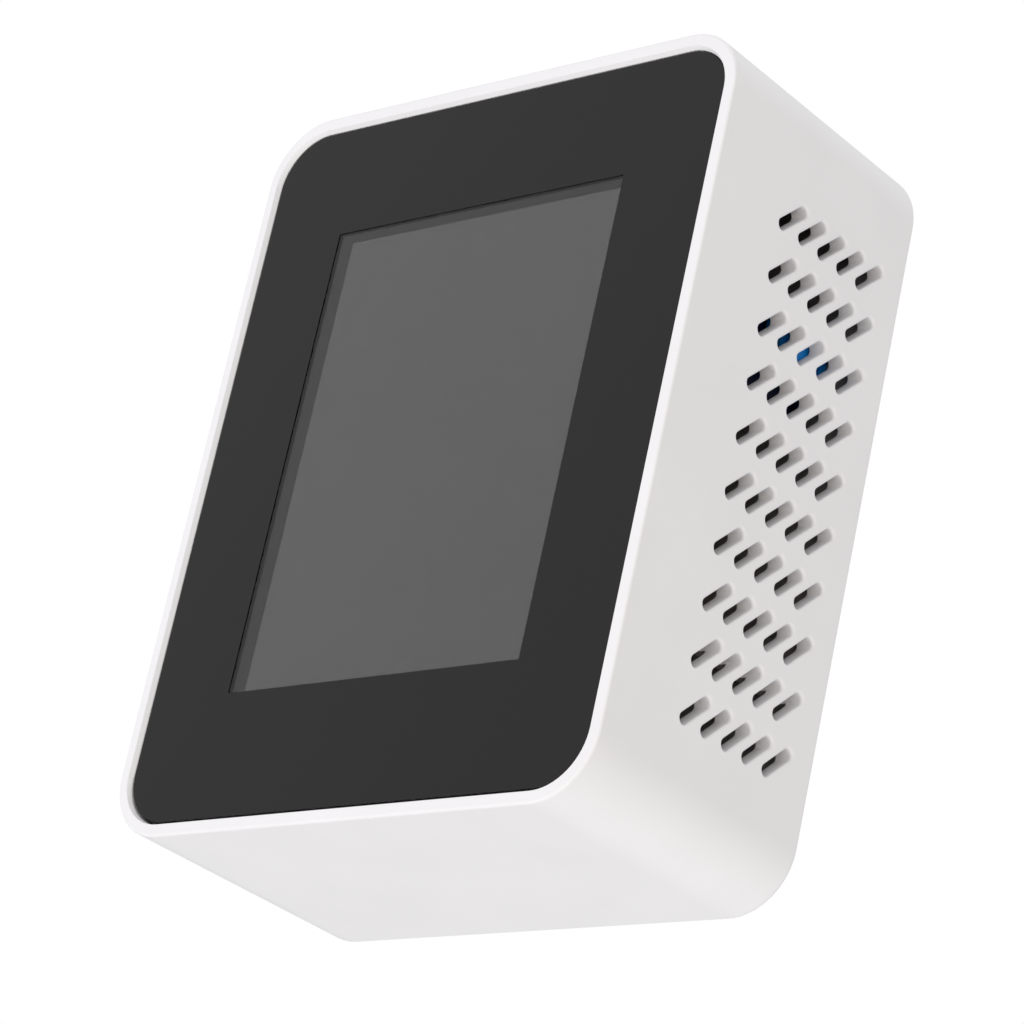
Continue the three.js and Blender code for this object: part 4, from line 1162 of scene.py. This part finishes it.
def build_particle_sensor():
    low, high = box_mm("pm_sensor_cover")
    bm = bmesh.new()
    loft(bm, "y", eased(box_shape(low, high, 0.5, 4), low.y, high.y, 0.05, 0.25, 3))
    cuts = bmesh.new()
    window = lambda grow: circle(FAN_X, FAN_Z, FAN_WINDOW_RADIUS + grow, 48)
    loft(cuts, "y", [
        (window(0), low.y - 1), (window(0), high.y - 0.15), (window(0.65), high.y + OVERCUT)
    ])
    for x in (low.x + 2, high.x - 2):
        for z in (high.z - 2, low.z + 2):
            prism(cuts, "y", circle(x, z, 0.8, 20), high.y - 0.25, high.y + OVERCUT)
    piece("pm_cover", bm, "pm_sensor_cover", "tinned_steel", cuts)

    low, high = box_mm("pm_laser_diode")
    centre = ((low.y + high.y) / 2, (low.z + high.z) / 2)
    radius = (high.z - low.z) / 2
    bm = bmesh.new()
    add_lathe(bm, centre, "x", [
        (0, low.x), (radius, low.x), (radius, low.x + 1.2), (radius - 0.35, low.x + 1.3),
        (radius - 0.35, high.x - 0.8), (radius - 0.5, high.x - 0.5), (radius - 0.9, high.x),
        (1.0, high.x), (0.9, high.x - 0.5), (0, high.x - 0.5),
    ], 36)
    piece("laser_barrel", bm, "pm_laser_diode", "brass")

    low, high = box_mm("pm_sensor_pad")
    bm = bmesh.new()
    pad = box_shape(low, high, 0.8, 5)
    loft(bm, "y", [
        (pad(0.1), low.y), (pad(0), low.y + 0.25), (pad(0.12), (low.y + high.y) / 2),
        (pad(0), high.y - 0.25), (pad(0.1), high.y),
    ])
    piece("foam_pad", bm, "pm_sensor_pad", "black_foam", None, 60)


def build_battery():
    """A pouch cell: a crowned foil bag with a taped top."""
    low, high = box_mm("battery")
    outline = box_shape(low, high, 2, 8)
    fold, crown = 0.9, 0.45
    bm = bmesh.new()
    rings = [(outline(6), low.y), (outline(2.5), low.y + 0.06), (outline(1.0), low.y + 0.25)]
    rings += [(outline(0.35), low.y + crown + 0.15), (outline(0.05), low.y + 1.2)]
    rings += [(outline(0), low.y + 1.8), (outline(0), high.y - 1.8)]
    rings += [(outline(0.05), high.y - 1.2), (outline(0.35), high.y - crown - 0.15)]
    rings += [(outline(1.0), high.y - 0.25), (outline(2.5), high.y - 0.06), (outline(6), high.y)]
    loft(bm, "y", rings)
    piece("battery_pouch", bm, "battery", "pouch_film", None, 50)
    bm = bmesh.new()
    tape_low = (low.x + 1.2, low.y + 0.03, high.z - 5)
    add_block(bm, tape_low, (high.x - 1.2, high.y - 0.03, high.z - fold), 0.2, 3)
    piece("battery_tape", bm, "battery", "amber_film")

    low, high = box_mm("battery_connector")
    bm = bmesh.new()
    add_block(bm, tuple(low), tuple(high), 0.25, 3)
    cuts = bmesh.new()
    for index in range(3):
        x = low.x + 1.2 + index * (high.x - low.x - 2.4) / 2
        add_block(cuts, (x - 0.45, low.y + 1.4, high.z - 2), (x + 0.45, high.y - 1.2, high.z + 1))
        add_block(cuts, (x - 0.3, low.y - 1, low.z + 1.2), (x + 0.3, low.y + 0.6, high.z - 2.4))
    piece("battery_plug", bm, "battery_connector", "ivory_nylon", cuts)

    low, high = box_mm("display_connector")
    bm = bmesh.new()
    add_block(bm, tuple(low), tuple(high), 0.15, 2)
    cuts = bmesh.new()
    add_block(cuts, (low.x + 1, low.y - 1, low.z + 1.6), (high.x - 1, low.y + 0.25, low.z + 2.0))
    for index in range(30):
        x = low.x + 1.4 + index * 0.59
        add_block(cuts, (x - 0.12, low.y - 1, high.z - 0.8), (x + 0.12, low.y + 0.3, high.z + 1))
    piece("display_socket", bm, "display_connector", "ivory_nylon", cuts)


def make_materials():
    """Every look by name. A row gives two colours, a range of roughness and any grain."""
    made = {}
    for name, *settings in (
        ("white_plastic", (240, 239, 241), (237, 236, 238), (0.42, 0.52)),
        # Next row: a grey painted shade for the inside of the white shell, which lies in shadow
        # behind the vents.
        ("painted_interior_shade", (180, 177, 178), (164, 161, 164), (0.6, 0.8), 0.5, 0.01),
        ("button_plastic", (240, 239, 241), (236, 235, 237), (0.34, 0.42)),
        ("black_plastic", (27, 27, 28), (20, 20, 21), (0.5, 0.65)),
        ("black_foam", (18, 18, 18), (12, 12, 12), (0.9, 1.0), 0.25, 0.05),
        ("tray_plastic", (232, 232, 228), (222, 222, 218), (0.5, 0.6)),
        ("ivory_nylon", (228, 221, 202), (219, 211, 190), (0.5, 0.62)),
        ("blue_plastic", (26, 156, 250), (20, 140, 240), (0.4, 0.52)),
        ("amber_film", (190, 118, 34), (170, 100, 26), (0.3, 0.42)),
        ("chip_epoxy", (34, 35, 38), (28, 29, 31), (0.6, 0.75), 0.12, 0.004),
        ("red_cable", (190, 44, 34), (170, 36, 28), (0.45, 0.6)),
        ("grey_cable", (142, 145, 149), (128, 131, 135), (0.45, 0.6)),
        ("green_board", (18, 84, 46), (14, 70, 38), (0.3, 0.45), 0.6, 0.01),
        ("blue_board", (16, 28, 66), (12, 22, 54), (0.3, 0.45), 0.6, 0.01),
    ):
        made[name] = moulded(name, *settings)
    for name, *settings in (
        ("tinned_steel", (188, 190, 192), (170, 172, 175), (0.25, 0.4)),
        ("gold_plate", (205, 165, 80), (190, 148, 66), (0.25, 0.35)),
        ("brass", (184, 148, 70), (164, 128, 56), (0.28, 0.42)),
        ("black_steel", (44, 45, 47), (34, 35, 37), (0.3, 0.45)),
        ("pouch_film", (176, 180, 186), (164, 168, 174), (0.3, 0.45)),
    ):
        made[name] = moulded(name, *settings, 0.2, 0.003, Metallic=1.0)
    lens = {"IOR": 1.49, "Transmission_Weight": 1.0}
    for name, first, second, cloud, haze, rough, settings in (
        ("black_print", (8, 8, 9), (10, 10, 10), (20, 2), (9, 3), (0.03, 0.06), {"IOR": 1.47}),
        ("clear_acrylic", (252, 252, 252), (254, 254, 254), (20, 2), (14, 1), (0.002, 0.008), lens),
        ("display_glass", (8, 8, 9), (11, 11, 12), (12, 2), (7, 3), (0.03, 0.06), {"IOR": 1.5}),
        ("display_face", (12, 11, 11), (15, 14, 14), (12, 2), (6, 2), (0.02, 0.04), {"IOR": 1.82}),
    ):
        made[name] = polished(name, first, second, cloud, haze, rough, **settings)
    return made


MATERIALS = make_materials()
NODE_SLOTS = {part["node"]: part["material_slot"] for part in frame["record"]["subparts"]}


def dress_cad_nodes():
    """Every CAD node still shown gets its slot's material."""
    for name, obj in frame["nodes"].items():
        obj.data.materials.clear()
        obj.data.materials.append(MATERIALS[NODE_SLOTS[name]])


add_camera()
add_studio()
dress_cad_nodes()
build_housing()
build_front()
build_display()
build_button()
build_screws()
build_port()
build_climate_sensor()
build_microcontroller()
build_wireless_module()
build_round_parts()
build_carbon_dioxide_sensor()
build_switch()
build_particle_sensor()
build_battery()
build_chips("main_board", box_mm("main_board")[1].y, 1, 46, 5)
build_chips("power_board", box_mm("power_board")[0].y, -1, 9, 8)

bpy.context.view_layer.update()
